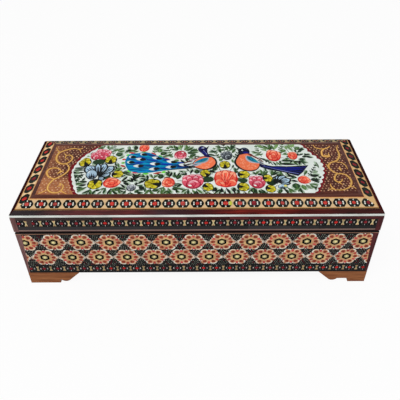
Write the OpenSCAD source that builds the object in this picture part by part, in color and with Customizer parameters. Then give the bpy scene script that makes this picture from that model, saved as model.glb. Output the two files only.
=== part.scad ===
// Pen box of inlaid wood: a long box on four bracket feet, with a hinged hipped lid and a painted panel.
// Millimetres. +X runs along the box, +Y points to the hinges at the back and +Z points up.
// The origin lies on the resting plane, under the middle of the lid.

/* [Lid] */
// Length of the lid, left to right
lid_l = 220; // [180:1:260]
// Depth of the lid, front to back
lid_d = 82.5; // [70:0.5:110]
// Height of the plain lip along the lid's lower edge
lip_h = 1.6; // [1.4:0.1:4]
// Height of the inlaid band on the lid's upright sides
lid_band_h = 9.5; // [7:0.1:14]
// Height of the bone line under the lid's arris
bone_h = 1.9; // [1:0.1:3]
// Thickness of the lid board at its edge, below the arris
lid_board_t = 4; // [3.2:0.1:6]
// Thickness of the rails that carry the lid board
rail_t = 5; // [4.4:0.1:7]
// How far the corner edging of the lid shows beyond the veneer's thickness
lid_corner_reveal = 2; // [0.5:0.1:5]
// Thickness of the cloth-covered card under the lid board
lid_lining_t = 1; // [0.6:0.1:2]

/* [Lid top] */
// Width of the dark bevel moulding along the arris, in plan
bevel_w = 2.7; // [2:0.1:5]
// Rise of the bevel moulding
bevel_rise = 1.9; // [1.4:0.1:3.5]
// Width of the sloping inlaid border, in plan
border_w = 8; // [5:0.1:14]
// Rise of the sloping inlaid border
border_rise = 2.6; // [1:0.1:5]
// Upright thickness of the inlaid border
border_t = 1; // [0.6:0.1:1.3]
// Width of the brown fillet round the painted panel
fillet_w = 2.4; // [1:0.1:5]
// Rise of the brown fillet
fillet_rise = 0.6; // [0.2:0.1:1.5]

/* [Body] */
// How far the lid stands out past the body at the front and at the ends
overhang = 0.1; // [0:0.05:0.6]
// How far the lid stands out past the body at the back
back_overhang = 0.8; // [0.6:0.1:1]
// Height of the body, from its underside to its rim
body_h = 34.9; // [28:0.1:60]
// Thickness of the core walls
wall_t = 5; // [4:0.1:8]
// Thickness of the veneers and edgings on the upright faces
veneer_t = 1.2; // [1:0.1:2]
// Thickness of the light wood lipping on the rim
rim_h = 1.2; // [1.1:0.1:3]
// Height of the inlaid band round the base
base_band_h = 6.6; // [5:0.1:12]
// How far the corner edging shows beyond the veneer's thickness, at the rim
corner_reveal_top = 2.4; // [0.5:0.1:5]
// How far the corner edging shows beyond the veneer's thickness, at the base
corner_reveal_base = 0.2; // [0.2:0.1:5]
// Thickness of the bottom board
bottom_t = 4; // [3:0.1:6]
// Open shadow line between the lid's lip and the rim
seam_gap = 0.9; // [0.5:0.1:1.2]

/* [Lining] */
// Thickness of the cloth-covered card on the floor
floor_lining_t = 1.2; // [0.6:0.1:2]
// Thickness of the cloth-covered card on the walls
wall_lining_t = 0.8; // [0.5:0.1:2]
// How far the wall lining stops below the rim
lining_drop = 3; // [1.5:0.1:8]

/* [Feet] */
// Height of the feet
foot_h = 9.6; // [9.4:0.1:16]
// Length of the left feet along the front and back
foot_left_l = 33.3; // [32:0.1:45]
// Length of the right feet along the front and back
foot_right_l = 31.5; // [28:0.1:45]
// Length of a foot along the ends of the box
foot_side_l = 26; // [25:0.5:33]
// Thickness of a foot's two arms
foot_t = 8; // [5:0.1:9]
// Length of the pad under the left feet
pad_left = 19.5; // [10:0.1:19.7]
// Length of the pad under the right feet
pad_right = 11; // [9:0.1:15]
// Length of the pad under each foot's end arm
pad_side = 9.3; // [9:0.1:11]
// Height of the notch behind a pad
notch_h = 3.1; // [2:0.1:4]
// Radius of the round lobe on a foot
lobe_r = 3.9; // [3:0.1:3.9]
// Height of the lobe's lowest point
lobe_lift = 1.5; // [0.3:0.1:1.6]
// Distance from a foot's tip back to the middle of its lobe
lobe_back = 10; // [8:0.1:11]

/* [Hinges] */
// Distance of the middle of each hinge from the lid's end
hinge_end = 42; // [30:1:60]
// Length of a hinge, along its barrel
leaf_l = 16; // [12:0.5:24]
// Thickness of a hinge leaf
leaf_t = 0.8; // [0.6:0.01:0.95]
// How far a leaf stops short of the rail's inner face
leaf_margin = 0.6; // [0.3:0.1:1]
// How far the pin lies behind the rails' outer faces
axis_setback = 0.2; // [0.1:0.01:0.25]
// Radius of the barrel
barrel_r = 1.5; // [1.3:0.05:1.8]
// Radius of the hinge pin
pin_r = 0.7; // [0.5:0.01:0.85]
// Length of the middle knuckle
knuckle_l = 6; // [4:0.1:8]
// Distance of the two nails from the middle of a leaf
nail_x = 5; // [2.5:0.1:5.8]
// Radius of a nail's shank
nail_r = 0.45; // [0.3:0.01:0.55]
// Radius of a nail's countersunk head
nail_head_r = 0.9; // [0.7:0.01:1.1]
// Height of a nail's countersunk head
nail_head_h = 0.5; // [0.3:0.01:0.6]
// Length of a nail
nail_l = 5; // [3:0.1:6]

/* [Fits] */
// Glue line between two mitred ends
glue_line = 0.04; // [0.02:0.01:0.1]
// Radial clearance of the pin in the lid's knuckle
run_clear = 0.05; // [0.02:0.01:0.1]
// Radial clearance of the pin in the body's knuckles
tight_clear = 0.02; // [0.01:0.01:0.05]
// Clearance between neighbouring knuckles, along the pin
knuckle_clear = 0.1; // [0.05:0.05:0.3]
// Radial clearance of the barrel in its groove and of a knuckle in the other leaf
groove_clear = 0.2; // [0.1:0.05:0.3]
// Clearance round a leaf in its mortise
mortise_clear = 0.1; // [0.05:0.05:0.2]
// Clearance of each leaf's face from the seam
leaf_clear = 0.05; // [0.02:0.01:0.1]
// Radial clearance of a nail in its hole
nail_clear = 0.03; // [0.01:0.01:0.05]

/* [Hidden] */
$fn = 64;

// Cutting shapes run past what they cut by this much
cut_over = 1;

// Plan sizes
body_l = lid_l - 2 * overhang;
body_d = lid_d - overhang - back_overhang;
body_y = (overhang - back_overhang) / 2;
shell_t = veneer_t + wall_t;
inner_l = body_l - 2 * shell_t;
inner_d = body_d - 2 * shell_t;
lid_inner_l = lid_l - 2 * (veneer_t + rail_t);
lid_inner_d = lid_d - 2 * (veneer_t + rail_t);
panel_inset = bevel_w + border_w + fillet_w;

// Levels, from the resting plane upwards
base_band_top = foot_h + base_band_h;
floor_z = foot_h + bottom_t;
lining_z = floor_z + floor_lining_t;
seam_z = foot_h + body_h;
rim_z = seam_z - rim_h;
lip_z = seam_z + seam_gap;
band_z = lip_z + lip_h;
bone_z = band_z + lid_band_h;
arris_z = bone_z + bone_h;
board_z = arris_z - lid_board_t;
border_z = arris_z + bevel_rise;
bed_z = border_z + border_rise - border_t;
top_z = border_z + border_rise + fillet_rise;

// Widths of the corner edgings on each face they wrap
corner_w_top = veneer_t + corner_reveal_top;
corner_w_base = veneer_t + corner_reveal_base;
lid_corner_w = veneer_t + lid_corner_reveal;

// The hinge pin lies in the seam, just behind the rails' outer faces, so that the rail clears the rim
// when the lid leans back
hinge_x = lid_l / 2 - hinge_end;
axis_y = lid_d / 2 - veneer_t + axis_setback;
leaf_w = rail_t + axis_setback - leaf_margin;
nail_y = (barrel_r + leaf_w) / 2;

// Colours
khatam_tan = [0.80, 0.62, 0.40];
khatam_dark = [0.13, 0.13, 0.13];
core_wood = [0.62, 0.45, 0.28];
light_wood = [0.72, 0.58, 0.47];
edging_wood = [0.35, 0.13, 0.11];
bevel_wood = [0.30, 0.08, 0.07];
foot_wood = [0.64, 0.39, 0.21];
bone_white = [0.88, 0.90, 0.86];
panel_white = [0.88, 0.91, 0.88];
fillet_brown = [0.39, 0.18, 0.15];
velvet_red = [0.42, 0.05, 0.09];
brass = [0.78, 0.62, 0.28];

// Names of the sides in turn order, and of the corners and hinges with their mirror signs
side_names = ["front", "right", "back", "left"];
corners = [["front_left", -1, -1], ["front_right", 1, -1], ["back_left", -1, 1], ["back_right", 1, 1]];
hinges = [["left", -1], ["right", 1]];
back = 2;

function sided(stem) = [for (name = side_names) str(stem, "_", name)];
function cornered(stem) = [for (c = corners) str(stem, "_", c[0])];
function hinged(stem) = [for (h = hinges) str(stem, "_", h[0])];

// Length of a frame's side, and the size of the frame across that side
function along(l, d, side) = side % 2 == 0 ? l : d;
function across(l, d, side) = side % 2 == 0 ? d : l;

// Section of a bar with square edges, from one inset and level to another
function bar(inset_0, inset_1, z_0, z_1) =
    [[inset_0, z_0], [inset_1, z_0], [inset_1, z_1], [inset_0, z_1]];

// A box centred on the Z axis, from one level to another
module slab(l, d, z_0, z_1) {
    translate([-l / 2, -d / 2, z_0])
        cube([l, d, z_1 - z_0]);
}

// One mitred bar of a rectangular frame of outer size l by d. The section's points are
// [inset from the frame's outer face, level].
module frame_bar(l, d, section, side) {
    half = along(l, d, side) / 2;
    levels = [for (p = section) p[1]];
    reach = max([for (p = section) p[0]]) + cut_over;
    slack = glue_line / sqrt(2);
    rotate(90 * side)
        translate([0, -across(l, d, side) / 2, 0])
            intersection() {
                rotate([90, 0, 90])
                    linear_extrude(2 * half + 2 * cut_over, center = true)
                        polygon(section);
                translate([0, 0, min(levels) - cut_over])
                    linear_extrude(max(levels) - min(levels) + 2 * cut_over)
                        polygon([
                            [-half - cut_over + slack, -cut_over], [half + cut_over - slack, -cut_over],
                            [half - reach - slack, reach], [-half + reach + slack, reach]
                        ]);
            }
}

// One flat veneer on a side of a box of outer size l by d, let in from its outer face. The ends stay
// clear of the corners by end_0 at the lower edge and by end_1 at the upper edge.
module face_plate(l, d, side, z_0, z_1, end_0, end_1) {
    half = along(l, d, side) / 2;
    rotate(90 * side)
        translate([0, veneer_t - across(l, d, side) / 2, 0])
            rotate([90, 0, 0])
                linear_extrude(veneer_t)
                    polygon([
                        [end_0 - half, z_0], [half - end_0, z_0],
                        [half - end_1, z_1], [end_1 - half, z_1]
                    ]);
}

// Places a shape drawn for the front right corner at another corner
module at_corner(sign_x, sign_y) {
    mirror([sign_x < 0 ? 1 : 0, 0, 0])
        mirror([0, sign_y > 0 ? 1 : 0, 0])
            children();
}

// An edging that wraps the front right corner of a box of outer size l by d
module corner_edging(l, d, z_0, z_1, w_0, w_1) {
    leg = [[0, z_0], [w_0, z_0], [w_1, z_1], [0, z_1]];
    translate([l / 2, -d / 2, 0]) {
        translate([0, veneer_t, 0])
            rotate([90, 0, 0])
                linear_extrude(veneer_t)
                    mirror([1, 0])
                        polygon(leg);
        translate([-veneer_t, 0, 0])
            rotate([90, 0, 90])
                linear_extrude(veneer_t)
                    polygon(leg);
    }
}

// Width of the body's corner edging at a level: it tapers from the rim down to the base
function corner_w(z) =
    corner_w_base + (corner_w_top - corner_w_base) * (z - foot_h) / (rim_z - foot_h);

// Places a shape of the body, whose middle lies forward of the lid's
module on_body() {
    translate([0, body_y, 0])
        children();
}

// Hinge places: shapes are drawn with the pin along X through the origin
module at_hinge(sign) {
    translate([sign * hinge_x, axis_y, seam_z])
        children();
}

module at_hinges() {
    for (h = hinges)
        at_hinge(h[1])
            children();
}

module rod_x(r, l, x = 0) {
    translate([x, 0, 0])
        rotate([0, 90, 0])
            cylinder(r = r, h = l, center = true);
}

// Groove for the barrels, cut through the rim, the wall, the back panel, the rail and the lip
module barrel_groove() {
    at_hinges()
        rod_x(barrel_r + groove_clear, leaf_l + 2 * groove_clear);
}

// Mortises for the leaves: level 1 lets one up into the rail, level -1 lets one down into the rim
module leaf_mortise(level) {
    depth = leaf_t + leaf_clear;
    at_hinges()
        translate([-leaf_l / 2 - mortise_clear, -leaf_w - mortise_clear, level > 0 ? -cut_over : -depth])
            cube([leaf_l + 2 * mortise_clear, leaf_w + mortise_clear, depth + cut_over]);
}

// One nail with its head in the leaf's face, grown by a clearance for its hole
module nail(grow = 0) {
    cylinder(r1 = nail_head_r + grow, r2 = nail_r + grow, h = nail_head_h);
    cylinder(r = nail_r + grow, h = nail_l + grow);
}

// The nails of one leaf: level 1 drives them up into the lid, level -1 down into the body
module leaf_nails(level, grow = 0) {
    for (sign = [-1, 1])
        translate([sign * nail_x, -nail_y, level * leaf_clear])
            mirror([0, 0, level > 0 ? 0 : 1])
                nail(grow);
}

module nail_holes(level) {
    at_hinges()
        leaf_nails(level, nail_clear);
}

module bottom_board() {
    color(core_wood)
        on_body()
            slab(body_l - 2 * veneer_t, body_d - 2 * veneer_t, foot_h, floor_z);
}

module wall(side) {
    color(core_wood)
        difference() {
            on_body()
                frame_bar(body_l, body_d, bar(veneer_t, shell_t, floor_z, rim_z), side);
            if (side == back) {
                barrel_groove();
                nail_holes(-1);
            }
        }
}

module panel(side) {
    color(khatam_tan)
        difference() {
            on_body()
                face_plate(
                    body_l, body_d, side, base_band_top, rim_z,
                    corner_w(base_band_top), corner_w_top
                );
            if (side == back)
                barrel_groove();
        }
}

module base_band(side) {
    color(khatam_dark)
        on_body()
            face_plate(
                body_l, body_d, side, foot_h, base_band_top,
                corner_w_base, corner_w(base_band_top)
            );
}

module corner(sign_x, sign_y) {
    color(edging_wood)
        on_body()
            at_corner(sign_x, sign_y)
                corner_edging(body_l, body_d, foot_h, rim_z, corner_w_base, corner_w_top);
}

module rim(side) {
    color(light_wood)
        difference() {
            on_body()
                frame_bar(body_l, body_d, bar(0, shell_t, rim_z, seam_z), side);
            if (side == back) {
                barrel_groove();
                leaf_mortise(-1);
                nail_holes(-1);
            }
        }
}

// Outline of one foot arm: a pad, a notch, a round lobe and a straight rise that leaves the lobe
// as its tangent and ends at the tip
module foot_outline(length, pad) {
    middle = [length - lobe_back, lobe_lift + lobe_r];
    tip = [length, foot_h];
    reach = norm(tip - middle);
    lean = atan2(tip[1] - middle[1], tip[0] - middle[0]) - acos(lobe_r / reach);
    touch = middle + lobe_r * [cos(lean), sin(lean)];
    polygon([
        [0, 0], [pad, 0], [pad, notch_h], [middle[0], notch_h], touch, tip, [0, foot_h]
    ]);
    translate(middle)
        circle(lobe_r);
}

module foot(sign_x, sign_y) {
    color(foot_wood)
        on_body()
            at_corner(sign_x, sign_y)
                translate([body_l / 2, -body_d / 2, 0]) {
                    translate([0, foot_t, 0])
                        rotate([90, 0, 0])
                            linear_extrude(foot_t)
                                mirror([1, 0])
                                    foot_outline(
                                        sign_x < 0 ? foot_left_l : foot_right_l,
                                        sign_x < 0 ? pad_left : pad_right
                                    );
                    translate([-foot_t, 0, 0])
                        rotate([90, 0, 90])
                            linear_extrude(foot_t)
                                foot_outline(foot_side_l, pad_side);
                }
}

module floor_lining() {
    color(velvet_red)
        on_body()
            slab(inner_l, inner_d, floor_z, lining_z);
}

module wall_lining() {
    color(velvet_red)
        on_body()
            for (side = [0 : 3])
                frame_bar(inner_l, inner_d, bar(0, wall_lining_t, lining_z, seam_z - lining_drop), side);
}

// Half of the lid board's section: a flange under the bevel, then a slope under the border, then a flat bed
lid_board_half = [
    [veneer_t, board_z], [veneer_t, arris_z], [bevel_w, arris_z], [bevel_w, border_z - border_t],
    [bevel_w + border_w, bed_z]
];

// A section that is the same on both sides of a width, swept over a length
module ridge(width, length) {
    count = len(lid_board_half);
    near = [for (p = lid_board_half) [p[0] - width / 2, p[1]]];
    far = [for (i = [1 : count]) [width / 2 - lid_board_half[count - i][0], lid_board_half[count - i][1]]];
    rotate([90, 0, 90])
        linear_extrude(length, center = true)
            polygon(concat(near, far));
}

// Two crossing ridges leave a board that is hipped on all four sides
module lid_board() {
    color(core_wood)
        intersection() {
            ridge(lid_d, lid_l);
            rotate(90)
                ridge(lid_l, lid_d);
        }
}

module lid_rail(side) {
    color(edging_wood)
        difference() {
            frame_bar(lid_l, lid_d, bar(veneer_t, veneer_t + rail_t, seam_z, board_z), side);
            if (side == back) {
                barrel_groove();
                leaf_mortise(1);
                nail_holes(1);
            }
        }
}

module lid_band(side) {
    color(khatam_dark)
        face_plate(lid_l, lid_d, side, band_z, bone_z, lid_corner_w, lid_corner_w);
}

module lid_corners() {
    color(edging_wood)
        for (c = corners)
            at_corner(c[1], c[2])
                corner_edging(lid_l, lid_d, lip_z, bone_z, lid_corner_w, lid_corner_w);
}

module bone_line() {
    color(bone_white)
        for (side = [0 : 3])
            frame_bar(lid_l, lid_d, bar(0, veneer_t, bone_z, arris_z), side);
}

module lid_lip() {
    color(light_wood)
        difference() {
            for (side = [0 : 3])
                face_plate(lid_l, lid_d, side, lip_z, band_z, lid_corner_w, lid_corner_w);
            barrel_groove();
        }
}

module bevel(side) {
    color(bevel_wood)
        frame_bar(lid_l, lid_d, [[0, arris_z], [bevel_w, arris_z], [bevel_w, border_z]], side);
}

module border(side) {
    inner = bevel_w + border_w;
    color(khatam_tan)
        frame_bar(
            lid_l, lid_d,
            [[bevel_w, border_z - border_t], [inner, bed_z], [inner, bed_z + border_t], [bevel_w, border_z]],
            side
        );
}

module panel_fillet() {
    outer = bevel_w + border_w;
    color(fillet_brown)
        for (side = [0 : 3])
            frame_bar(
                lid_l, lid_d,
                [[outer, bed_z], [panel_inset, bed_z], [panel_inset, top_z], [outer, bed_z + border_t]],
                side
            );
}

module painted_panel() {
    color(panel_white)
        slab(lid_l - 2 * panel_inset, lid_d - 2 * panel_inset, bed_z, top_z);
}

module lid_lining() {
    color(velvet_red)
        slab(lid_inner_l, lid_inner_d, board_z - lid_lining_t, board_z);
}

// One leaf: a plate and its knuckles, cut clear of the other leaf's knuckles and bored for the pin
module hinge_leaf(sign, level, own, other, bore_r) {
    color(brass)
        at_hinge(sign)
            difference() {
                union() {
                    difference() {
                        translate([-leaf_l / 2, -leaf_w, level > 0 ? leaf_clear : -leaf_clear - leaf_t])
                            cube([leaf_l, leaf_w, leaf_t]);
                        for (k = other)
                            rod_x(barrel_r + groove_clear, k[1] + 2 * knuckle_clear, k[0]);
                    }
                    for (k = own)
                        rod_x(barrel_r, k[1], k[0]);
                }
                rod_x(bore_r, leaf_l + 2 * cut_over);
                leaf_nails(level, nail_clear);
            }
}

// Knuckles as [middle, length]: two outer ones on the body's leaf and one between them on the lid's leaf
end_knuckle_l = (leaf_l - knuckle_l) / 2 - knuckle_clear;
end_knuckle_x = (leaf_l - end_knuckle_l) / 2;
body_knuckles = [[-end_knuckle_x, end_knuckle_l], [end_knuckle_x, end_knuckle_l]];
lid_knuckles = [[0, knuckle_l]];

module hinge_leaf_body(sign) {
    hinge_leaf(sign, -1, body_knuckles, lid_knuckles, pin_r + tight_clear);
}

module hinge_leaf_lid(sign) {
    hinge_leaf(sign, 1, lid_knuckles, body_knuckles, pin_r + run_clear);
}

module hinge_pin(sign) {
    color(brass)
        at_hinge(sign)
            rod_x(pin_r, leaf_l);
}

module hinge_nails(level) {
    color(brass)
        at_hinges()
            leaf_nails(level);
}

// Body
bottom_board();
for (side = [0 : 3]) {
    wall(side);
    panel(side);
    base_band(side);
    rim(side);
}
for (c = corners) {
    corner(c[1], c[2]);
    foot(c[1], c[2]);
}
floor_lining();
wall_lining();

// Lid
lid_board();
for (side = [0 : 3]) {
    lid_rail(side);
    lid_band(side);
    bevel(side);
    border(side);
}
lid_corners();
bone_line();
lid_lip();
panel_fillet();
painted_panel();
lid_lining();

// Hinges
for (h = hinges) {
    hinge_leaf_body(h[1]);
    hinge_leaf_lid(h[1]);
    hinge_pin(h[1]);
}
hinge_nails(-1);  // hinge_nails_body
hinge_nails(1);  // hinge_nails_lid
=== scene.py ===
"""Looks of an inlaid wooden pen box: micro-mosaic sides, a hipped lid with a painted panel, velvet linings.

Faces come from the frame's solids, and motifs are placed on them one by one. Sizes are in millimetres,
unless a name or a comment says otherwise.
"""
import math
import random

import bpy
from mathutils import Matrix, Vector, noise


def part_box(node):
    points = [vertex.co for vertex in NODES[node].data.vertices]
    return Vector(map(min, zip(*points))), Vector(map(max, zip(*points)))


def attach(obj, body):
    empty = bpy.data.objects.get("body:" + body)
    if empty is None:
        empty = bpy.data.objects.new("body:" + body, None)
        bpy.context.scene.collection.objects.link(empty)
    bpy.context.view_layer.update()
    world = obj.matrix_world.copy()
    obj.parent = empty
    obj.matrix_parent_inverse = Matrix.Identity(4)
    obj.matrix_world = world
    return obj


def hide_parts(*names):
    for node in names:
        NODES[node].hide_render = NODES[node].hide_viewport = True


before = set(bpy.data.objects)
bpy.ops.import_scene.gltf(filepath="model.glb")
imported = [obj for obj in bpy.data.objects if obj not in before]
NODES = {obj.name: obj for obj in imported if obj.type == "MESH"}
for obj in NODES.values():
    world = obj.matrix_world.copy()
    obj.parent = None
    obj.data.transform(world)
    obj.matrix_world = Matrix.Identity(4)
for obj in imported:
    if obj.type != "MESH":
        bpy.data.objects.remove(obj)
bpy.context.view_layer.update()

MM = 0.001
SIDES = ("front", "right", "back", "left")
CORNERS = ("front_left", "front_right", "back_left", "back_right")
UP = Vector((0, 0, 1))
draw = random.Random(11)


def about(reach):
    """A small random shift either way."""
    return draw.uniform(-reach, reach)


# Colours, written as 0 to 255 screen values

def linear(colour):
    """A screen colour as linear light."""
    parts = [c / 255 for c in colour]
    return tuple(c / 12.92 if c <= 0.04045 else ((c + 0.055) / 1.055) ** 2.4 for c in parts)


def opaque(colour):
    return (*linear(colour), 1)


def shaded(colour, factor):
    return tuple(min(255, max(0, c * factor)) for c in colour)


# Materials

class Tree:
    """A tree of shading nodes under construction."""

    def __init__(self, tree):
        self.tree = tree

    def wire(self, socket, value):
        if isinstance(value, bpy.types.NodeSocket):
            self.tree.links.new(value, socket)
        else:
            socket.default_value = value

    def node(self, kind, inputs, **settings):
        """The outputs of a new node."""
        made = self.tree.nodes.new("ShaderNode" + kind)
        for key, value in settings.items():
            setattr(made, key, value)
        for key, value in inputs.items():
            self.wire(made.inputs[key], value)
        return made.outputs


class Shader(Tree):
    """A surface material under construction. Its patterns lie in the part's own frame, in metres."""

    def __init__(self, name, **sockets):
        self.material = bpy.data.materials.new(name)
        self.material.use_nodes = True
        super().__init__(self.material.node_tree)
        self.surface = self.tree.nodes["Principled BSDF"]
        self.set(**sockets)

    def set(self, **sockets):
        """Sets sockets of the surface, named in lower case with underscores."""
        names = {name.lower().replace(" ", "_"): name for name in self.surface.inputs.keys()}
        for key, value in sockets.items():
            self.wire(self.surface.inputs[names[key]], value)

    def place(self):
        return self.node("TexCoord", {})["Object"]

    def along(self, axis):
        """One coordinate of the place."""
        return self.node("SeparateXYZ", {0: self.place()})[axis]

    def share(self, value, clear, full, most=1.0):
        """A factor that grows from nothing to the most between two values, in millimetres."""
        reach = {"Value": value, "From Min": clear * MM, "From Max": full * MM, "To Max": most}
        return self.node("MapRange", reach)[0]

    def noise(self, cell, stretch=(1, 1, 1), detail=4.0, rough=0.55):
        """Noise with features about one cell across, in millimetres, times the stretch on each axis."""
        scale = [1 / (s * cell * MM) for s in stretch]
        spot = self.node("Mapping", {"Vector": self.place(), "Scale": scale})[0]
        return self.node("TexNoise", {"Vector": spot, "Scale": 1.0, "Detail": detail, "Roughness": rough})[0]

    def ramp(self, factor, *stops):
        """Colours, or greys given as one number, at positions along a factor."""
        made = self.tree.nodes.new("ShaderNodeValToRGB")
        self.wire(made.inputs["Fac"], factor)
        while len(made.color_ramp.elements) < len(stops):
            made.color_ramp.elements.new(1)
        for element, (position, colour) in zip(made.color_ramp.elements, stops):
            element.position = position
            element.color = (colour, colour, colour, 1) if isinstance(colour, float) else opaque(colour)
        return made.outputs["Color"]

    def mix(self, factor, a, b):
        return self.node("Mix", {0: factor, 6: a, 7: b}, data_type="RGBA")[2]

    def stain_and_shade_band(self, tone, stain):
        """A tone darkened beyond a height: painted shade of the seam on the rim and the lip, and a wine stain
        on the bone strip.
        """
        clear, full, colour = stain
        return self.mix(self.share(self.along("Z"), clear, full), tone, opaque(colour))

    def done(self, tone, height, depth):
        """The material, given its colour and the height and depth of its bumps."""
        bumps = self.node("Bump", {"Height": height, "Distance": depth * MM, "Strength": 1.0})[0]
        self.set(base_color=tone, normal=bumps)
        return self.material


GRAIN = {"x": (14, 1, 1), "y": (1, 14, 1), "z": (1, 1, 14)}


def wood(name, dark, light, axis="x", cell=0.9, rough=(0.38, 0.52), shine=0.12, stain=None):
    """Planed wood with long grain, darker pores and a little gloss that follows them. A given band darkens it
    beyond a height; on the rim and the lip that dark is painted shade of the seam.
    """
    s = Shader(name, specular_ior_level=shine)
    grain = s.noise(cell, GRAIN[axis], 6.0, 0.62)
    drift = s.noise(cell * 9, (2, 2, 2), 2.0)
    tone = s.ramp(grain, (0.32, dark), (0.68, light))
    tone = s.mix(s.ramp(drift, (0.35, 0.0), (0.75, 0.6)), tone, opaque(shaded(dark, 1.15)))
    s.set(roughness=s.ramp(grain, (0.3, rough[1]), (0.7, rough[0])))
    return s.done(s.stain_and_shade_band(tone, stain) if stain else tone, grain, 0.05)


def ground(name, dark, light, axis, shine=0.1):
    """The close-grained slips that fill the ground between the inlay, under lacquer."""
    s = Shader(name, specular_ior_level=shine, roughness=0.36)
    fine = s.noise(0.35, GRAIN[axis], 3.0)
    slips = s.noise(2.6, detail=2.0)
    return s.done(s.ramp(s.mix(0.4, fine, slips), (0.36, dark), (0.64, light)), fine, 0.012)


def lacquered(name, stops, axis, cell, shine=0.03):
    """Stained wood whose colour comes and goes along its length."""
    s = Shader(name, specular_ior_level=shine, roughness=0.3)
    length = s.noise(cell, GRAIN[axis], 3.0, 0.5)
    fibre = s.noise(0.5, GRAIN[axis], 5.0, 0.6)
    return s.done(s.ramp(s.mix(0.3, length, fibre), *stops), fibre, 0.02)


def by_length(name, stops, axis):
    """Lacquered wood whose tones change along the box. Each stop is a place, a dark and a light tone."""
    s = Shader(name, specular_ior_level=0.05, roughness=0.32)
    grain = s.noise(1.0, GRAIN[axis], 5.0, 0.6)
    tones = [s.ramp(grain, (0.34, dark), (0.66, light)) for _, dark, light in stops]
    tone, place = tones[0], s.along("X")
    for before, after, here in zip(stops, stops[1:], tones[1:]):
        tone = s.mix(s.share(place, before[0], after[0]), tone, here)
    return s.done(tone, grain, 0.02)


def velvet_pile():
    s = Shader("velvet_pile", roughness=0.9, specular_ior_level=0.1, sheen_weight=0.8, sheen_roughness=0.4,
               sheen_tint=opaque((214, 96, 104)))
    nap = s.noise(0.3, detail=5.0, rough=0.7)
    brushed = s.noise(9.0, (2, 1, 1), 2.0)
    return s.done(s.ramp(s.mix(0.5, nap, brushed), (0.34, (66, 6, 16)), (0.66, (128, 18, 34))), nap, 0.12)


def satin_brass():
    s = Shader("satin_brass", metallic=1.0)
    scratches = s.noise(0.25, (9, 1, 1), 4.0, 0.7)
    tarnish = s.noise(2.2, rough=0.6)
    s.set(roughness=s.ramp(scratches, (0.3, 0.24), (0.7, 0.42)))
    return s.done(s.ramp(tarnish, (0.35, (150, 112, 52)), (0.62, (214, 176, 92))), scratches, 0.01)


def bone_strip(stain):
    s = Shader("bone_strip", roughness=0.3, specular_ior_level=0.2)
    streaks = s.noise(0.5, GRAIN["x"])
    pieces = s.noise(14, (1, 1, 0.2), 1.0)
    tone = s.ramp(s.mix(0.5, streaks, pieces), (0.3, (184, 188, 182)), (0.62, (232, 237, 232)))
    return s.done(s.stain_and_shade_band(tone, stain), streaks, 0.01)


CORNER_LEAN = 0.25
NEAR_CORNER, LEFT_END = (-28, -37), (-84, -95, 0.5)


def panel_ground():
    """Mottled burgundy that thins to a warm brown towards the left end, most of all in the near corner."""
    s = Shader("panel_ground", roughness=0.36, specular_ior_level=0.08)
    mottle = s.noise(3.2, detail=5.0, rough=0.65)
    deep = s.ramp(mottle, (0.34, (56, 21, 16)), (0.66, (98, 44, 28)))
    warm = s.ramp(mottle, (0.34, (142, 80, 50)), (0.66, (186, 122, 78)))
    x, y = s.along("X"), s.along("Y")
    leftward = s.node("Math", {0: x, 1: CORNER_LEAN}, operation="MULTIPLY")[0]
    near_left = s.node("Math", {0: leftward, 1: y}, operation="ADD")[0]
    corner, end = s.share(near_left, *NEAR_CORNER), s.share(x, *LEFT_END)
    thin = s.node("Math", {0: corner, 1: end}, operation="MAXIMUM")[0]
    return s.done(s.mix(thin, deep, warm), mottle, 0.02)


def medallion_white():
    s = Shader("medallion_white", roughness=0.34, specular_ior_level=0.12)
    wash = s.noise(7.0, rough=0.6)
    tone = s.ramp(wash, (0.3, (212, 222, 214)), (0.65, (234, 241, 236)))
    return s.done(tone, s.noise(0.8, detail=3.0), 0.01)


def palette(prefix, rough, shine, colours):
    """Several tones of each colour, because each slip of wood and each stroke of paint has its own."""
    found = {}
    for name, colour, count, spread in colours:
        found[name] = []
        for i in range(count):
            factor = 1 + spread * (2 * i / (count - 1) - 1)
            s = Shader(f"{prefix}_{name}_{i}", roughness=rough, specular_ior_level=shine)
            s.set(base_color=opaque(shaded(colour, factor)))
            found[name].append(s.material)
    return found


MEDALLION_WHITE = medallion_white()
VELVET = velvet_pile()
# Each colour: its name, tone, number of tones and how far they spread
SLIPS = palette("slip", 0.36, 0.008, (
    ("tan", (198, 156, 117), 4, 0.08), ("gold", (203, 167, 115), 3, 0.08),
    ("rim", (218, 198, 180), 3, 0.06), ("salmon", (192, 130, 102), 3, 0.09),
    ("petal", (152, 72, 58), 3, 0.12), ("core", (112, 48, 34), 3, 0.14), ("tip", (176, 72, 66), 3, 0.12),
    ("red", (184, 46, 43), 4, 0.15), ("dull_red", (128, 41, 48), 3, 0.15),
    ("white", (218, 218, 208), 3, 0.07), ("black", (13, 15, 15), 3, 0.2),
    ("pale", (226, 214, 152), 3, 0.07), ("cream", (190, 175, 130), 3, 0.1),
    ("straw", (156, 144, 106), 3, 0.1), ("wine", (78, 38, 40), 4, 0.2), ("slate", (50, 48, 49), 3, 0.14),
    ("hatch", (128, 130, 118), 4, 0.22), ("splice", (62, 52, 50), 2, 0.1),
    ("edge", (198, 148, 94), 3, 0.08), ("smudge", (178, 182, 66), 2, 0.08),
    ("moss", (34, 48, 38), 3, 0.2), ("maple", (226, 194, 148), 3, 0.06),
    ("brick", (190, 62, 54), 4, 0.13), ("ring", (30, 32, 29), 3, 0.25), ("dim", (182, 177, 174), 3, 0.1),
))


# Flat faces and what lies on them

def in_scene(name, data):
    thing = bpy.data.objects.new(name, data)
    bpy.context.scene.collection.objects.link(thing)
    return thing


def mesh_piece(name, vertices, polygons, materials):
    mesh = bpy.data.meshes.new(name)
    mesh.from_pydata(vertices, [], polygons)
    for material in materials:
        mesh.materials.append(material)
    return in_scene(name, mesh)


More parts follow.
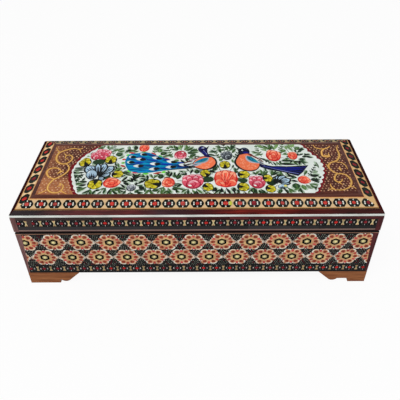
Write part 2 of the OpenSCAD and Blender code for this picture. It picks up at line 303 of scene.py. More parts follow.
class Face:
    """A flat face: places points given along it, up it and off it."""

    def __init__(self, origin, along, up):
        self.origin, self.along, self.up = origin, along, up
        self.out = along.cross(up)

    def at(self, a, b, height):
        return (self.origin + self.along * a + self.up * b + self.out * height) * MM


def side_axes(side):
    turn = Matrix.Rotation(math.radians(90 * side), 3, "Z")
    return turn @ Vector((1, 0, 0)), turn @ Vector((0, -1, 0))


def measured(node, side):
    """A node's vertices as (along a side, outwards, up)."""
    along, out = side_axes(side)
    return [(v.co.dot(along) / MM, v.co.dot(out) / MM, v.co.z / MM) for v in NODES[node].data.vertices]


def span_at(points, place, value):
    """Both ends of what lies at a value of one coordinate."""
    found = [p[0] for p in points if abs(p[place] - value) < TOUCHING]
    return min(found), max(found)


def upright_face(node, side):
    """The outer face of an upright plate, with heights from the resting plane, and its outline."""
    along, out = side_axes(side)
    points = measured(node, side)
    low, high = min(p[2] for p in points), max(p[2] for p in points)
    (a0, a1), (b0, b1) = span_at(points, 2, low), span_at(points, 2, high)
    middle = (a0 + a1) / 2
    outline = [(a - middle, z) for a, z in ((a0, low), (a1, low), (b1, high), (b0, high))]
    return Face(out * max(p[1] for p in points) + along * middle, along, UP), outline


def sloping_face(node, side):
    """The upper face of a mitred, sloping strip, with heights from its outer edge, and its outline."""
    along, out = side_axes(side)
    points = measured(node, side)
    outer, inner = max(p[1] for p in points), min(p[1] for p in points)
    z0 = max(p[2] for p in points if abs(p[1] - outer) < TOUCHING)
    z1 = max(p[2] for p in points if abs(p[1] - inner) < TOUCHING)
    slope = out * (inner - outer) + UP * (z1 - z0)
    (a0, a1), (b0, b1) = span_at(points, 1, outer), span_at(points, 1, inner)
    outline = [(a0, 0), (a1, 0), (b1, slope.length), (b0, slope.length)]
    return Face(out * outer + UP * z0, along, slope.normalized()), outline


def area(points):
    pairs = zip(points, points[1:] + points[:1])
    return sum(a[0] * b[1] - b[0] * a[1] for a, b in pairs) / 2


def clipped(points, outline):
    """The part of a polygon inside a convex outline that runs anticlockwise."""
    for (ax, ay), (bx, by) in zip(outline, outline[1:] + outline[:1]):
        kept = []
        inside = [(bx - ax) * (y - ay) - (by - ay) * (x - ax) for x, y in points]
        for i, (p, d) in enumerate(zip(points, inside)):
            q, e = points[i - 1], inside[i - 1]
            if d * e < 0:
                t = e / (e - d)
                kept.append((q[0] + t * (p[0] - q[0]), q[1] + t * (p[1] - q[1])))
            if d >= 0:
                kept.append(p)
        points = kept
    return points


SUNK = 0.25
SMALLEST_AREA = 0.004
SAME_POINT = 0.004
TOUCHING = 0.01


def without_repeats(points):
    return [p for i, p in enumerate(points) if math.dist(p, points[i - 1]) > SAME_POINT]


class Inlay:
    """Thin closed tiles on one face, each let a little way into it."""

    def __init__(self, face, outline):
        self.face, self.outline = face, outline
        self.vertices, self.polygons, self.worn, self.materials = [], [], [], []

    def tile(self, points, materials, height):
        points = without_repeats(clipped(points, self.outline))
        size = area(points) if len(points) > 2 else 0
        if abs(size) < SMALLEST_AREA:
            return
        if size < 0:
            points.reverse()
        count, first = len(points), len(self.vertices)
        for level in (-SUNK, height):
            self.vertices += [self.face.at(a, b, level) for a, b in points]
        self.polygons.append([first + i for i in reversed(range(count))])
        self.polygons.append([first + count + i for i in range(count)])
        for i in range(count):
            j = (i + 1) % count
            self.polygons.append([first + i, first + j, first + count + j, first + count + i])
        material = draw.choice(materials)
        if material not in self.materials:
            self.materials.append(material)
        self.worn += [self.materials.index(material)] * (count + 2)

    def build(self, name, body, slot):
        piece = mesh_piece(name, self.vertices, self.polygons, self.materials)
        piece.data.polygons.foreach_set("material_index", self.worn)
        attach(piece, body)


# Outlines, all as lists of points

def moved(points, spot=(0, 0), turn=0.0, grow=(1, 1)):
    """Points scaled, then turned, then shifted."""
    c, s = math.cos(turn), math.sin(turn)
    scaled = [(x * grow[0], y * grow[1]) for x, y in points]
    return [(spot[0] + c * x - s * y, spot[1] + s * x + c * y) for x, y in scaled]


def placed(points, *places):
    """Points moved several times over, from the innermost place outwards."""
    for place in places:
        points = moved(points, *place)
    return points


def polar(spot, turn, reach):
    return spot[0] + reach * math.cos(turn), spot[1] + reach * math.sin(turn)


def ring(spot, rx, ry=None, count=16, turn=0.0, start=0.0):
    """A regular polygon or an oval."""
    ry = rx if ry is None else ry
    steps = [start + math.tau * i / count for i in range(count)]
    return moved([(rx * math.cos(t), ry * math.sin(t)) for t in steps], spot, turn)


def lens(spot, length, width, turn=0.0, bend=0.0, belly=0.5, steps=6):
    """A pointed leaf that grows from a spot. Bend pushes its middle aside. Belly is where it is widest."""
    upper, lower = [], []
    for i in range(steps + 1):
        t = i / steps
        half = 0
        if 0 < i < steps:
            half = width / 2 * math.sin(math.pi * t ** (math.log(0.5) / math.log(belly))) ** 0.8
        side = 4 * bend * t * (1 - t)
        upper.append((length * t, side + half))
        lower.append((length * t, side - half))
    return moved(lower + upper[-2:0:-1], spot, turn)


def strip(x0, x1, y0, y1):
    return [(x0, y0), (x1, y0), (x1, y1), (x0, y1)]


def smooth(points, closed=True, steps=5):
    """A smooth curve through the points."""
    count = len(points)
    found = []
    for i in range(count if closed else count - 1):
        pick = [(i + k) % count if closed else min(max(i + k, 0), count - 1) for k in (-1, 0, 1, 2)]
        p, q, r, s = (Vector(points[k]) for k in pick)
        for j in range(steps):
            t = j / steps
            spot = 2 * q + (r - p) * t + (2 * p - 5 * q + 4 * r - s) * t ** 2
            spot += (3 * q - p - 3 * r + s) * t ** 3
            found.append(tuple(spot / 2))
    return found if closed else found + [tuple(points[-1])]


def ribbon(points, widths):
    """A stroke along a line, whose width runs through the given values."""
    left, right = [], []
    last = len(points) - 1
    for i, (x, y) in enumerate(points):
        ahead = (Vector(points[min(i + 1, last)]) - Vector(points[max(i - 1, 0)])).normalized()
        t = i / last * (len(widths) - 1)
        k = min(int(t), len(widths) - 2)
        half = (widths[k] + (widths[k + 1] - widths[k]) * (t - k)) / 2
        left.append((x - ahead.y * half, y + ahead.x * half))
        right.append((x + ahead.y * half, y - ahead.x * half))
    return right + left[::-1]


def stroke(points, widths, steps=5):
    return ribbon(smooth(points, False, steps), widths)


def kites(inlay, spot, outer, inner, kinds, height, grow=(1, 1), start=0.0):
    """A six-pointed figure of kite-shaped slips: a hexagon, or a star where the inner reach is short."""
    for k in range(6):
        turns = [start + math.pi * (2 * k + j) / 6 for j in (-1, 0, 1)]
        tips = [polar((0, 0), t, reach) for t, reach in zip(turns, (inner, outer, inner))]
        inlay.tile(moved([(0, 0)] + tips, spot, 0.0, grow), SLIPS[kinds[k % len(kinds)]], height)


# Rosette panels on the body

ROSETTE_PITCH = 17.3
ROSETTE_SHIFT = -1.6
ROSETTE_REACH = 8.1
ROSETTE_LOBE = 2.9
ROSETTE_RIM = 0.9
ROSETTE_SQUASH = 0.88
PETAL_FROM, PETAL_SIZE = 3.7, (3.5, 3.0)
EYE_FROM, EYE_SIZE = 5.5, (1.4, 1.15)
TIP_FROM, TIP_SIZE = 4.4, (2.6, 1.9)
BEAD_FROM, BEAD_SIZE = 7.0, (0.4, 0.6)
HEXAGON_SIZE, DARK_HEXAGON, STRAW_HEXAGON, PALE_STAR = (4.3, 3.8), 3.2, 1.75, (1.2, 0.8)
ROW_STEP = 12.8
TOP_ROW_DROP = 6.9
ROW_SHIFTS = (-0.3, 0.6)
LOBES = 6
RIM_SLIPS = ("rim", "rim", "white", "salmon")


def lobe_radius(turn, inset=0.0):
    """Distance from a rosette's middle to its scalloped edge."""
    off = (turn + math.pi / LOBES) % (math.tau / LOBES) - math.pi / LOBES
    throw, lobe = ROSETTE_REACH - ROSETTE_LOBE, ROSETTE_LOBE - inset
    return throw * math.cos(off) + math.sqrt(max(0, lobe ** 2 - (throw * math.sin(off)) ** 2))


def rosette(inlay, x, y):
    """Six scalloped lobes, each with a brown eye, round a dark hexagon."""
    grow = (1, ROSETTE_SQUASH)

    def put(points, kind, height):
        inlay.tile(moved(points, (x, y), 0.0, grow), SLIPS[kind], height)

    half = math.pi / LOBES
    for k in range(LOBES):
        turn = k * math.tau / LOBES
        steps = [turn - half + 2 * half * i / 10 for i in range(11)]
        for a, b in zip(steps[:-1:2], steps[2::2]):
            slip = [(t, inset) for t, inset in ((a, 0), (b, 0), (b, ROSETTE_RIM), (a, ROSETTE_RIM))]
            put([polar((0, 0), t, lobe_radius(t, inset)) for t, inset in slip], draw.choice(RIM_SLIPS), 0.03)
        put([(0, 0)] + [polar((0, 0), t, lobe_radius(t, ROSETTE_RIM * 0.9)) for t in steps], "tan", 0.035)
        put(lens(polar((0, 0), turn, PETAL_FROM), *PETAL_SIZE, turn), "salmon", 0.045)
        eye = moved([polar((0, 0), turn, EYE_FROM)], (x, y), 0.0, grow)[0]
        kites(inlay, eye, *EYE_SIZE, ("petal", "core"), 0.055, grow, turn)
        gap = turn + half
        put(lens(polar((0, 0), gap, TIP_FROM), *TIP_SIZE, gap), "tip", 0.05)
        put(ring(polar((0, 0), gap, BEAD_FROM), *BEAD_SIZE, 6, gap), draw.choice(RIM_SLIPS), 0.055)
    kites(inlay, (x, y), *HEXAGON_SIZE, ("gold", "tan"), 0.06, grow, math.pi / 2)
    put(ring((0, 0), DARK_HEXAGON, count=6, start=math.pi / 2), "black", 0.07)
    put(ring((0, 0), STRAW_HEXAGON, count=6, start=math.pi / 2), "straw", 0.08)
    kites(inlay, (x, y), *PALE_STAR, ("pale",), 0.09, grow)


def in_rosette(x, y, middles, margin):
    for mx, my in middles:
        dx, dy = x - mx, (y - my) / ROSETTE_SQUASH
        edge = lobe_radius(math.atan2(dy, dx)) + margin
        if math.hypot(dx, dy) < edge:
            return True
    return False


HATCH_STEP = 1.3
HATCH_LENGTH = 1.2
HATCH_WIDTH = 0.4
HATCH_GAP = 0.25
HATCH_SLANT = 0.95
RED_HATCHES = 0.14


def hatching(inlay, half, low, high, middles):
    """Slanting rows of tiny slips that fill the dark fields between the rosettes."""
    for j in range(int((high - low) / HATCH_STEP)):
        for i in range(int(2 * half / HATCH_STEP)):
            spot = (i * HATCH_STEP - half + (j % 3) * HATCH_STEP / 3, low + (j + 0.5) * HATCH_STEP)
            if not in_rosette(*spot, middles, HATCH_GAP):
                rising = math.sin(math.tau * spot[0] / ROSETTE_PITCH) > 0
                kind = "dull_red" if draw.random() < RED_HATCHES else "hatch"
                slant = HATCH_SLANT if rising else -HATCH_SLANT
                inlay.tile(lens(spot, HATCH_LENGTH, HATCH_WIDTH, slant, steps=2), SLIPS[kind], 0.012)


CROSS_TURN = 0.85
CROSS_ARM = 1.9
CROSS_WIDTH = 0.55


def crossing(inlay, x, y):
    """The pale cross where two rosettes of a row touch."""
    for turn in (CROSS_TURN, -CROSS_TURN):
        ends = [polar((x, y), turn, reach) for reach in (-CROSS_ARM, CROSS_ARM)]
        inlay.tile(ribbon(ends, (CROSS_WIDTH, CROSS_WIDTH)), SLIPS["rim"], 0.03)


BACK_TOP_GAP = 0.5
SCATTER_ALONG, SCATTER_UP = 0.25, 0.2


def rosette_panel(side):
    face, outline = upright_face(f"panel_{SIDES[side]}", side)
    half, low, high = outline[1][0], outline[0][1], outline[2][1]
    if SIDES[side] == "back":
        high -= BACK_TOP_GAP
        outline = outline[:2] + [(x, high) for x, _ in outline[2:]]
    middle = ROSETTE_SHIFT if side % 2 == 0 else 0.0
    count = int(half // ROSETTE_PITCH) + 2
    rows = []
    for row in range(2):
        y = high - TOP_ROW_DROP - row * ROW_STEP
        start = middle + ROW_SHIFTS[row] + row * ROSETTE_PITCH / 2
        rows.append([(start + k * ROSETTE_PITCH, y) for k in range(-count, count + 1)])
    inlay = Inlay(face, outline)
    hatching(inlay, half, low, high, rows[0] + rows[1])
    for x, y in rows[0] + rows[1]:
        rosette(inlay, x + about(SCATTER_ALONG), y + about(SCATTER_UP))
        crossing(inlay, x + ROSETTE_PITCH / 2, y)
    inlay.build(f"rosettes_{SIDES[side]}", "box", "rosette_khatam")


# Bands of stars and hourglasses round the base and the lid

BAND_PITCH = 8.55
BAND_SCATTER = 0.2
# Left of this place more of the stars have lost their colour
WORN_LEFT = -64
DULL_WORN, DULL_ELSEWHERE = 0.85, 0.6
STAR_SIZE, STAR_TALL = (1.2, 0.9), 4.8
SIDE_SLIP_FROM, SIDE_SLIP_SIZE = 2.15, (0.36, 0.78)
END_SLIP_FROM, END_SLIP_SIZE = 0.4, (0.26, 0.5)
SPECK_FROM, SPECK_SIZE = (1.5, 0.36), (0.16, 0.22)


def star_unit(inlay, x, y, tall):
    """A red star between white slips."""
    red = "dull_red" if draw.random() < (DULL_WORN if x < WORN_LEFT else DULL_ELSEWHERE) else "red"
    kites(inlay, (x, y), *STAR_SIZE, (red,), 0.05, (1, tall / STAR_TALL))
    aside, rise = SPECK_FROM
    for way in (-1, 1):
        inlay.tile(ring((x + way * SIDE_SLIP_FROM, y), *SIDE_SLIP_SIZE, 6), SLIPS["dim"], 0.04)
        inlay.tile(ring((x, y + way * END_SLIP_FROM * tall), *END_SLIP_SIZE, 4), SLIPS["dim"], 0.04)
        for up in (-1, 1):
            inlay.tile(ring((x + way * aside, y + up * rise * tall), *SPECK_SIZE, 4), SLIPS["hatch"], 0.03)


HOURGLASS = [(-0.32, 0), (0.32, 0), (1.0, 1), (-1.0, 1)]
HOURGLASS_CORE = [(0, 0.35), (0.4, 1), (-0.4, 1)]
HOURGLASS_TALL = 0.44


def hourglass(inlay, x, y, tall, kind):
    for way in (-1, 1):
        grow = (1, way * HOURGLASS_TALL * tall)
        inlay.tile(moved(HOURGLASS, (x, y), 0.0, grow), SLIPS[kind], 0.04)
        inlay.tile(moved(HOURGLASS_CORE, (x, y), 0.0, grow), SLIPS["salmon"], 0.05)


def star_band(inlay, half, y, tall, shift, kind):
    count = int(half // BAND_PITCH) + 1
    for k in range(-count, count + 1):
        x = shift + k * BAND_PITCH + about(BAND_SCATTER)
        star_unit(inlay, x, y, tall)
        hourglass(inlay, x + BAND_PITCH / 2, y, tall, kind)


BASE_ROW_TALL = 4.3
BASE_ROW_LIFT = 0.5
BASE_SHIFT = -4.6


def base_band(side):
    face, outline = upright_face(f"base_band_{SIDES[side]}", side)
    inlay = Inlay(face, outline)
    y = (outline[0][1] + outline[2][1]) / 2 + BASE_ROW_LIFT
    star_band(inlay, outline[1][0], y, BASE_ROW_TALL, BASE_SHIFT, "straw")
    inlay.build(f"base_stars_{SIDES[side]}", "box", "band_khatam")


WINE_TALL = 1.7
# The upper line is wine red to the right of this place
WINE_FROM = -45
SLATE_TALL = 2.6
# A plain piece let into the front band, from its left to its right end
SPLICE = (-100.6, -97.8)
LINE_LENGTHS = (9, 34)
LINE_JOINT = 0.05
LID_SHIFT = -3.1
LID_ROW_GAP = 0.5


def lengths(half, least, most):
    """Both ends of each of the random lengths that make up a line."""
    x = -half
    while x < half:
        end = min(half, x + draw.uniform(least, most))
        yield x, end
        x = end


def lid_band(side):
    """From the top: a wine-red line in lengths, the stars, and a plain dark strip."""
    face, outline = upright_face(f"lid_band_{SIDES[side]}", side)
    inlay = Inlay(face, outline)
    half, low, high = outline[1][0], outline[0][1], outline[2][1]
    for x, end in lengths(half, *LINE_LENGTHS):
        line = "wine" if end > WINE_FROM else "splice"
        inlay.tile(strip(x, end - LINE_JOINT, high - WINE_TALL, high), SLIPS[line], 0.02)
        inlay.tile(strip(x, end - LINE_JOINT, low, low + SLATE_TALL), SLIPS["slate"], 0.02)
    y = (low + SLATE_TALL + high - WINE_TALL) / 2
    star_band(inlay, half, y, high - low - WINE_TALL - SLATE_TALL - LID_ROW_GAP, LID_SHIFT, "cream")
    if SIDES[side] == "front":
        inlay.tile(strip(*SPLICE, low + SLATE_TALL, high - WINE_TALL), SLIPS["splice"], 0.08)
    inlay.build(f"lid_stars_{SIDES[side]}", "lid", "band_khatam")


# Sloping border round the painted panel

# Front, right, back and left, in millimetres along each border
BORDERS = (
    {"pitch": 8.4, "shift": 0.4, "ring": (7.8, 5.9), "star": 1.5, "slip": "white", "ground": "maple",
     "reds": ("brick", "brick", "tip", "dull_red")},
    {"pitch": 9.8, "shift": 4.9, "ring": (9.3, 6.0), "star": 1.7, "slip": "moss", "ground": "gold",
     "reds": ("dull_red",)},
    {"pitch": 8.4, "shift": 0.4, "ring": (7.0, 7.8), "star": 1.1, "slip": "gold", "ground": "straw",
     "reds": ("dull_red",)},
    {"pitch": 10.3, "shift": -1.4, "ring": (9.4, 6.0), "star": 1.95, "slip": "moss", "ground": "maple",
     "reds": ("red", "red", "dull_red")},
)
RING_CORNERS = ((1, 0.2), (0.6, 1), (-0.6, 1), (-1, 0.2), (-1, -0.2), (-0.6, -1), (0.6, -1), (1, -0.2))
FLANK_OUT, FLANK_UP, FLANK_SIZE = 0.55, 0.62, (0.46, 0.62)
POLE_UP, POLE_SIZE = 0.7, (0.36, 0.65)
STAR_INNER = 0.86
STAR_SHARES = (0.8, 1.05)
RING_SCATTER = 0.15
GROUND_EDGE = 1.2
# Lines along a border, measured from its outer and from its inner edge
OUTER_LINES = ((0, 0.5, "black"), (0.5, 1.0, "edge"))
INNER_LINES = ((-0.7, -0.25, "edge"), (-0.25, 0, "core"))
# A smudge on the front border: its place and half sizes
SMUDGE = (20.0, 1.0, 1.5)


def border_ring(inlay, x, y, plan, red):
    """A dark, long-sided ring that holds a red star between slips."""
    half_size = [v / 2 for v in plan["ring"]]
    star, slip = plan["star"], SLIPS[plan["slip"]]
    inlay.tile(moved(RING_CORNERS, (x, y), 0.0, half_size), SLIPS["ring"], 0.03)
    for way in (-1, 1):
        for up in (-1, 1):
            spot = (x + way * (star + FLANK_OUT), y + up * FLANK_UP)
            inlay.tile(ring(spot, *FLANK_SIZE, 8), slip, 0.05)
        inlay.tile(ring((x, y + way * (star + POLE_UP)), *POLE_SIZE, 6), slip, 0.05)
    star *= draw.uniform(*STAR_SHARES)
    kites(inlay, (x, y), star, STAR_INNER * star, (red,), 0.06)


def border(side):
    face, outline = sloping_face(f"border_{SIDES[side]}", side)
    inlay = Inlay(face, outline)
    half, width = outline[1][0], outline[2][1]
    inner = [(width + low, width + high, kind) for low, high, kind in INNER_LINES]
    for low, high, kind in (*OUTER_LINES, *inner):
        inlay.tile(strip(-half, half, low, high), SLIPS[kind], 0.02)
    plan = BORDERS[side]
    inlay.tile(strip(-half, half, GROUND_EDGE, width - GROUND_EDGE), SLIPS[plan["ground"]], 0.01)
    count = int(half // plan["pitch"])
    for k in range(-count, count + 1):
        x = plan["shift"] + k * plan["pitch"] + about(RING_SCATTER)
        border_ring(inlay, x, width / 2, plan, draw.choice(plan["reds"]))
    if SIDES[side] == "front":
        x, rx, ry = SMUDGE
        inlay.tile(ring((x, width / 2), rx, ry, 9), SLIPS["smudge"], 0.08)
    inlay.build(f"border_rings_{SIDES[side]}", "lid", "border_khatam")


# Painted panel: a scalloped white medallion with two birds among flowers, between burgundy ends

PAINT = palette("paint", 0.32, 0.03, (
    ("crimson", (106, 16, 26), 2, 0.1), ("brown", (88, 48, 40), 3, 0.12),
    ("gold", (208, 152, 74), 3, 0.07), ("gold_pale", (232, 188, 108), 2, 0.05),
    ("dot", (206, 162, 126), 4, 0.14), ("coral", (240, 100, 76), 4, 0.05),
    ("coral_deep", (200, 46, 42), 3, 0.08), ("coral_pale", (254, 164, 132), 3, 0.05),
    ("pink", (214, 84, 104), 4, 0.06), ("pink_deep", (166, 30, 54), 3, 0.1),
    ("pink_pale", (242, 176, 186), 3, 0.05), ("yellow", (190, 176, 32), 3, 0.07),
    ("yellow_pale", (222, 210, 92), 2, 0.05), ("olive", (118, 112, 24), 2, 0.1),
    ("night", (18, 22, 22), 3, 0.2), ("leaf_deep", (32, 56, 34), 4, 0.24),
    ("leaf", (68, 98, 54), 4, 0.16), ("leaf_pale", (116, 150, 92), 3, 0.1),
    ("leaf_grey", (112, 128, 112), 3, 0.12), ("sky", (176, 206, 226), 3, 0.06),
    ("ash", (140, 147, 156), 3, 0.1), ("ash_deep", (30, 34, 40), 3, 0.14),
    ("ash_pale", (212, 217, 220), 3, 0.04), ("grey", (66, 73, 80), 3, 0.12),
    ("grey_deep", (20, 24, 30), 3, 0.14), ("grey_pale", (150, 158, 164), 3, 0.08),
    ("slate", (82, 98, 120), 3, 0.14), ("lilac", (176, 178, 190), 3, 0.08),
    ("navy", (11, 13, 56), 3, 0.2), ("royal", (14, 28, 142), 3, 0.14), ("glint", (112, 122, 190), 2, 0.1),
    ("teal", (18, 112, 128), 3, 0.1), ("blue", (0, 114, 166), 3, 0.08), ("cyan", (0, 152, 178), 3, 0.06),
    ("azure", (0, 120, 204), 2, 0.06), ("blue_deep", (6, 50, 140), 3, 0.12),
    ("orange", (246, 124, 82), 3, 0.05), ("orange_pale", (252, 162, 126), 3, 0.04),
    ("rust", (130, 44, 38), 3, 0.14), ("scarlet", (196, 48, 44), 3, 0.12),
    ("white", (232, 238, 234), 2, 0.03), ("lime", (104, 200, 56), 3, 0.1),
    ("sage", (160, 182, 158), 3, 0.08),
))
FIRST_COAT = 0.02
COAT = 0.006
GRID = 0.4


def grid_under(points):
    """Squares of a fine grid that a shape touches."""
    found = {(math.floor(x / GRID), math.floor(y / GRID)) for x, y in points}
    rows = [p[1] for p in found]
    for row in range(min(rows), max(rows) + 1):
        y = (row + 0.5) * GRID
        cuts = []
        for (ax, ay), (bx, by) in zip(points, points[1:] + points[:1]):
            if (ay < y) != (by < y):
                cuts.append(ax + (bx - ax) * (y - ay) / (by - ay))
        cuts.sort()
        for left, right in zip(cuts[::2], cuts[1::2]):
            found.update((i, row) for i in range(math.floor(left / GRID), math.floor(right / GRID) + 1))
    return found


class Painting(Inlay):
    """Dabs of paint, each a thin coat over whatever is already there. All paintings share the one panel."""
    coats = {}
    count = 0

    def wash(self, points, colour, coat=0):
        """A thin coat, under the rest unless it says which. No two neighbours are quite as thick."""
        Painting.count += 1
        self.tile(points, PAINT[colour], FIRST_COAT + (coat + self.count % 7 / 9) * COAT)

    def dab(self, points, colour):
        under = grid_under(points)
        coat = 1 + max(self.coats.get(square, 0) for square in under)
        self.coats.update(dict.fromkeys(under, coat))
        self.wash(points, colour, coat)


# Leaves and twigs

def leaf(paint, spot, degrees, length, width, tone):
    """A leaf about its middle, with a lighter blade on one side."""
    turn = math.radians(degrees)
    root = polar(spot, turn, -length / 2)
    bend = about(0.07) * length
    paint.wash(lens(root, 1.1 * length, 1.9 * width, turn + 0.12, bend, 0.6), "sage")
    paint.dab(lens(root, length, width * 1.25, turn, bend, 0.45), tone)
    lighter = {"night": "leaf_deep", "leaf_deep": "leaf", "leaf": "leaf_pale", "leaf_grey": "leaf_pale"}[tone]
    paint.dab(lens(polar(root, turn, 0.12 * length), 0.72 * length, 0.3 * width, turn + 0.1, bend), lighter)


def curved(root, turn, length, places, steps):
    """A stem that bows a little to one side, drawn through places along it from 0 to 1."""
    bend = about(0.12) * length
    stem = [(length * t, 4 * bend * t * (1 - t)) for t in places]
    return smooth(moved(stem, root, turn), False, steps)


def twig(paint, root, degrees, length, pairs, tone):
    """A curved stem with pairs of narrow leaflets and one at the tip."""
    turn = math.radians(degrees)
    line = curved(root, turn, length, (0, 0.25, 0.5, 0.75, 1), 4)
    paint.dab(ribbon(line, (0.4, 0.2)), tone)
    for k in range(pairs):
        spot = line[round((k + 0.7) / (pairs + 0.4) * (len(line) - 1))]
        size = draw.uniform(2.4, 3.2) * (1 - 0.25 * k / pairs)
        for way in (-1, 1):
            angle = turn + way * draw.uniform(0.5, 0.85)
            paint.dab(lens(spot, size, size * 0.42, angle, -way * size * 0.07, 0.55), tone)
    paint.dab(lens(line[-3], 2.6, 0.9, turn), tone)


SPRIG_STEP = 3.1
LEAF_STEP = 2.0
CROWDING = 0.22
SPRIG_TONES = {
    "dark": ("night", "leaf_deep"),
    "deep": ("leaf_deep", "leaf_deep", "leaf"),
    "mid": ("leaf", "leaf_deep", "leaf"),
    "pale": ("leaf", "leaf_pale"),
}


def bare(paint, shape):
    """Whether a shape would lie on white, but for a small share of it."""
    under = grid_under(shape)
    return sum(square in paint.coats for square in under) < CROWDING * len(under)


def sprig(paint, root, turn, length, kind):
    """A curved stem with pairs of leaves and one at its tip, each drawn where the white is still bare."""
    line = curved(root, turn, length, (0, 0.5, 1), 8)
    leaves = [(line[-3], turn, 4.0)]
    pairs = max(1, round(length / LEAF_STEP))
    for k in range(pairs):
        spot = line[round((k + 0.3) / pairs * (len(line) - 1))]
        leaves += [(spot, turn + way * draw.uniform(0.35, 0.65), draw.uniform(4.6, 6.4)) for way in (-1, 1)]
    if bare(paint, ribbon(line[4:], (0.3, 0.3))):
        paint.dab(ribbon(line, (0.4, 0.25)), SPRIG_TONES[kind][0])
    for spot, lean, size in leaves:
        for share in (1.0, 0.75):
            reach, wide = size * share, size * 0.28
            if bare(paint, lens(polar(spot, lean, 0.45 * reach), 0.55 * reach, wide, lean)):
                bend = about(0.1) * reach
                paint.wash(lens(spot, 1.12 * reach, 1.45 * wide, lean + 0.14, bend, 0.62), "sage")
                paint.dab(lens(spot, reach, wide, lean, bend, 0.55), draw.choice(SPRIG_TONES[kind]))
                break


def fringe(paint, spot, size, start, end, reach, kind):
    """Sprigs along part of a flower's edge."""
    count = max(1, round(math.radians(end - start) * sum(size) / 2 / SPRIG_STEP))
    for k in range(count):
        turn = math.radians(start + (end - start) * (k + 0.5) / count)
        edge = moved([polar((0, 0), turn, 1.0)], spot, 0.0, size)[0]
        lean = math.atan2(edge[1] - spot[1], edge[0] - spot[0]) + about(0.25)
        sprig(paint, edge, lean, max(1.0, reach - 2.4), kind)


# Leaves by tone: middle, lean in degrees, length and width
LEAVES = {
    "night": (
        (-75.6, 0.1, 180, 8.4, 1.5), (-75.4, -2.8, 184, 8, 1.3), (-74.8, -5.6, 192, 7, 1.3),
        (-74, -8.6, 204, 6.4, 1.2), (-70.5, -15, 174, 5.4, 1.9), (-70.3, -18.7, 188, 4.8, 1.7),
        (-63, 8, 8, 8, 3.4), (-65.5, 5.4, 170, 6, 3), (-60.2, -24, 20, 3.4, 1.7),
        (-57.6, -11, 25, 5, 2.8), (-42, 23.8, 98, 5.6, 2.4), (-43.6, -17.6, -42, 5.2, 2),
        (-41.6, -14.4, -30, 5.4, 1.5), (-38.6, -13, -55, 5.4, 1.4), (-35, -15.6, 60, 4.6, 1.5),
        (-39.2, -10.6, -38, 4.6, 1.1), (-33.6, -21.8, -50, 4.8, 2.6), (-37.4, -17.6, 80, 3.4, 1.4),
        (11, -23.6, 72, 4.6, 2.8), (14.5, -25, 112, 3.6, 1.6), (22.6, -24, 82, 4.6, 2),
        (25.2, -25.2, 110, 3.2, 1.4), (28.6, -14.8, 4, 5.8, 2.8), (40.2, -8, 6, 4, 2),
        (44.4, 7.8, -42, 10, 1.2), (72.5, 14.5, 20, 2, 1.6), (71.3, 11.8, 12, 3.2, 1.8),
        (69.5, 9, -20, 4, 1.6), (59.4, 6.8, 2, 9.4, 1.8), (66, 6, -10, 7.4, 1.6), (59, 2.9, -4, 11, 2.4),
        (74, -9.5, 8, 6.2, 2.4), (73, -14.3, -12, 4.8, 2.8), (67.4, 14.4, 80, 3.4, 1.1),
        (60.4, 11.6, 40, 2.2, 1.3), (-14.4, -17.6, -20, 3.2, 1.5), (-18.8, -11.4, 8, 4.2, 1.2),
    ),
    "leaf_deep": (
        (-52.2, 15.6, 22, 5, 3.8), (-48.2, -22.6, 58, 4.6, 3), (-22.3, 16.2, 38, 5, 3.2),
        (-4.7, 17.2, 48, 3.8, 2.4), (-2.7, 13.8, 46, 5.2, 2.4), (-22.4, -10, 76, 5.2, 3),
        (-11.2, -10.5, 66, 5.6, 2.6), (-13.8, -9.5, 95, 4, 1.9), (0, -4.8, 88, 5, 2.8),
        (5.2, -13.6, 88, 6, 3.2), (8.4, -13.2, 84, 6, 3), (26.6, -14, 120, 4.8, 2.6),
        (34.4, -24.6, 80, 5, 3), (38.2, -25.8, 100, 3.2, 1.6), (12, -0.8, 42, 5.2, 1.8),
        (25, -5.3, 0, 2.8, 2), (49.9, 22.2, 82, 4.6, 2.2), (60.8, -20.7, -90, 6.4, 4),
        (-45.4, -5.6, 6, 4.6, 2.8), (-25, -24.2, 12, 4.4, 2.4), (-36.4, -25.2, 60, 3.4, 1.9),
        (-13, -22.6, 14, 4.4, 2.8), (50.6, -25.4, 70, 4, 2), (44.6, -17, 80, 4.4, 2.4),
        (46.8, -15.6, 30, 4, 2), (52, -9, 28, 4.8, 1.8),
    ),
    "leaf": (
        (-66.1, 23.7, 8, 5, 2.8), (-50.5, -2, 34, 5.6, 2.6), (-25.2, 20, 82, 5, 2.8),
        (-13.6, 7.8, 8, 3.6, 1.9), (-7.5, 22.5, 62, 5.2, 1.7), (-13.5, 21.4, 58, 3.2, 1.7),
        (16, 8.3, 60, 3.8, 1.8), (68.2, 21.7, 52, 4.8, 2.8), (58.4, 18.6, 40, 4, 2.4),
        (65.3, -22, -78, 5.6, 2.4), (6.6, -14.4, 92, 4.6, 1.2), (-50.4, -23, 60, 3, 1.4),
    ),
    "leaf_grey": (
        (-76.5, -5, 176, 4.2, 1.6), (-45.7, 23, 96, 5.2, 1.4), (-28.5, 22.2, 74, 5, 1.4),
        (-17.1, 12.7, 12, 2.6, 1.8), (75, -6, 18, 4.2, 1.5), (68.3, -21.4, -60, 5.6, 1.7),
        (78, 2, 95, 7.6, 1), (-8, -4.2, 165, 5, 1), (-59, 22.6, 75, 5.4, 1), (-57.6, 23.4, 82, 5, 0.8),
    ),
}
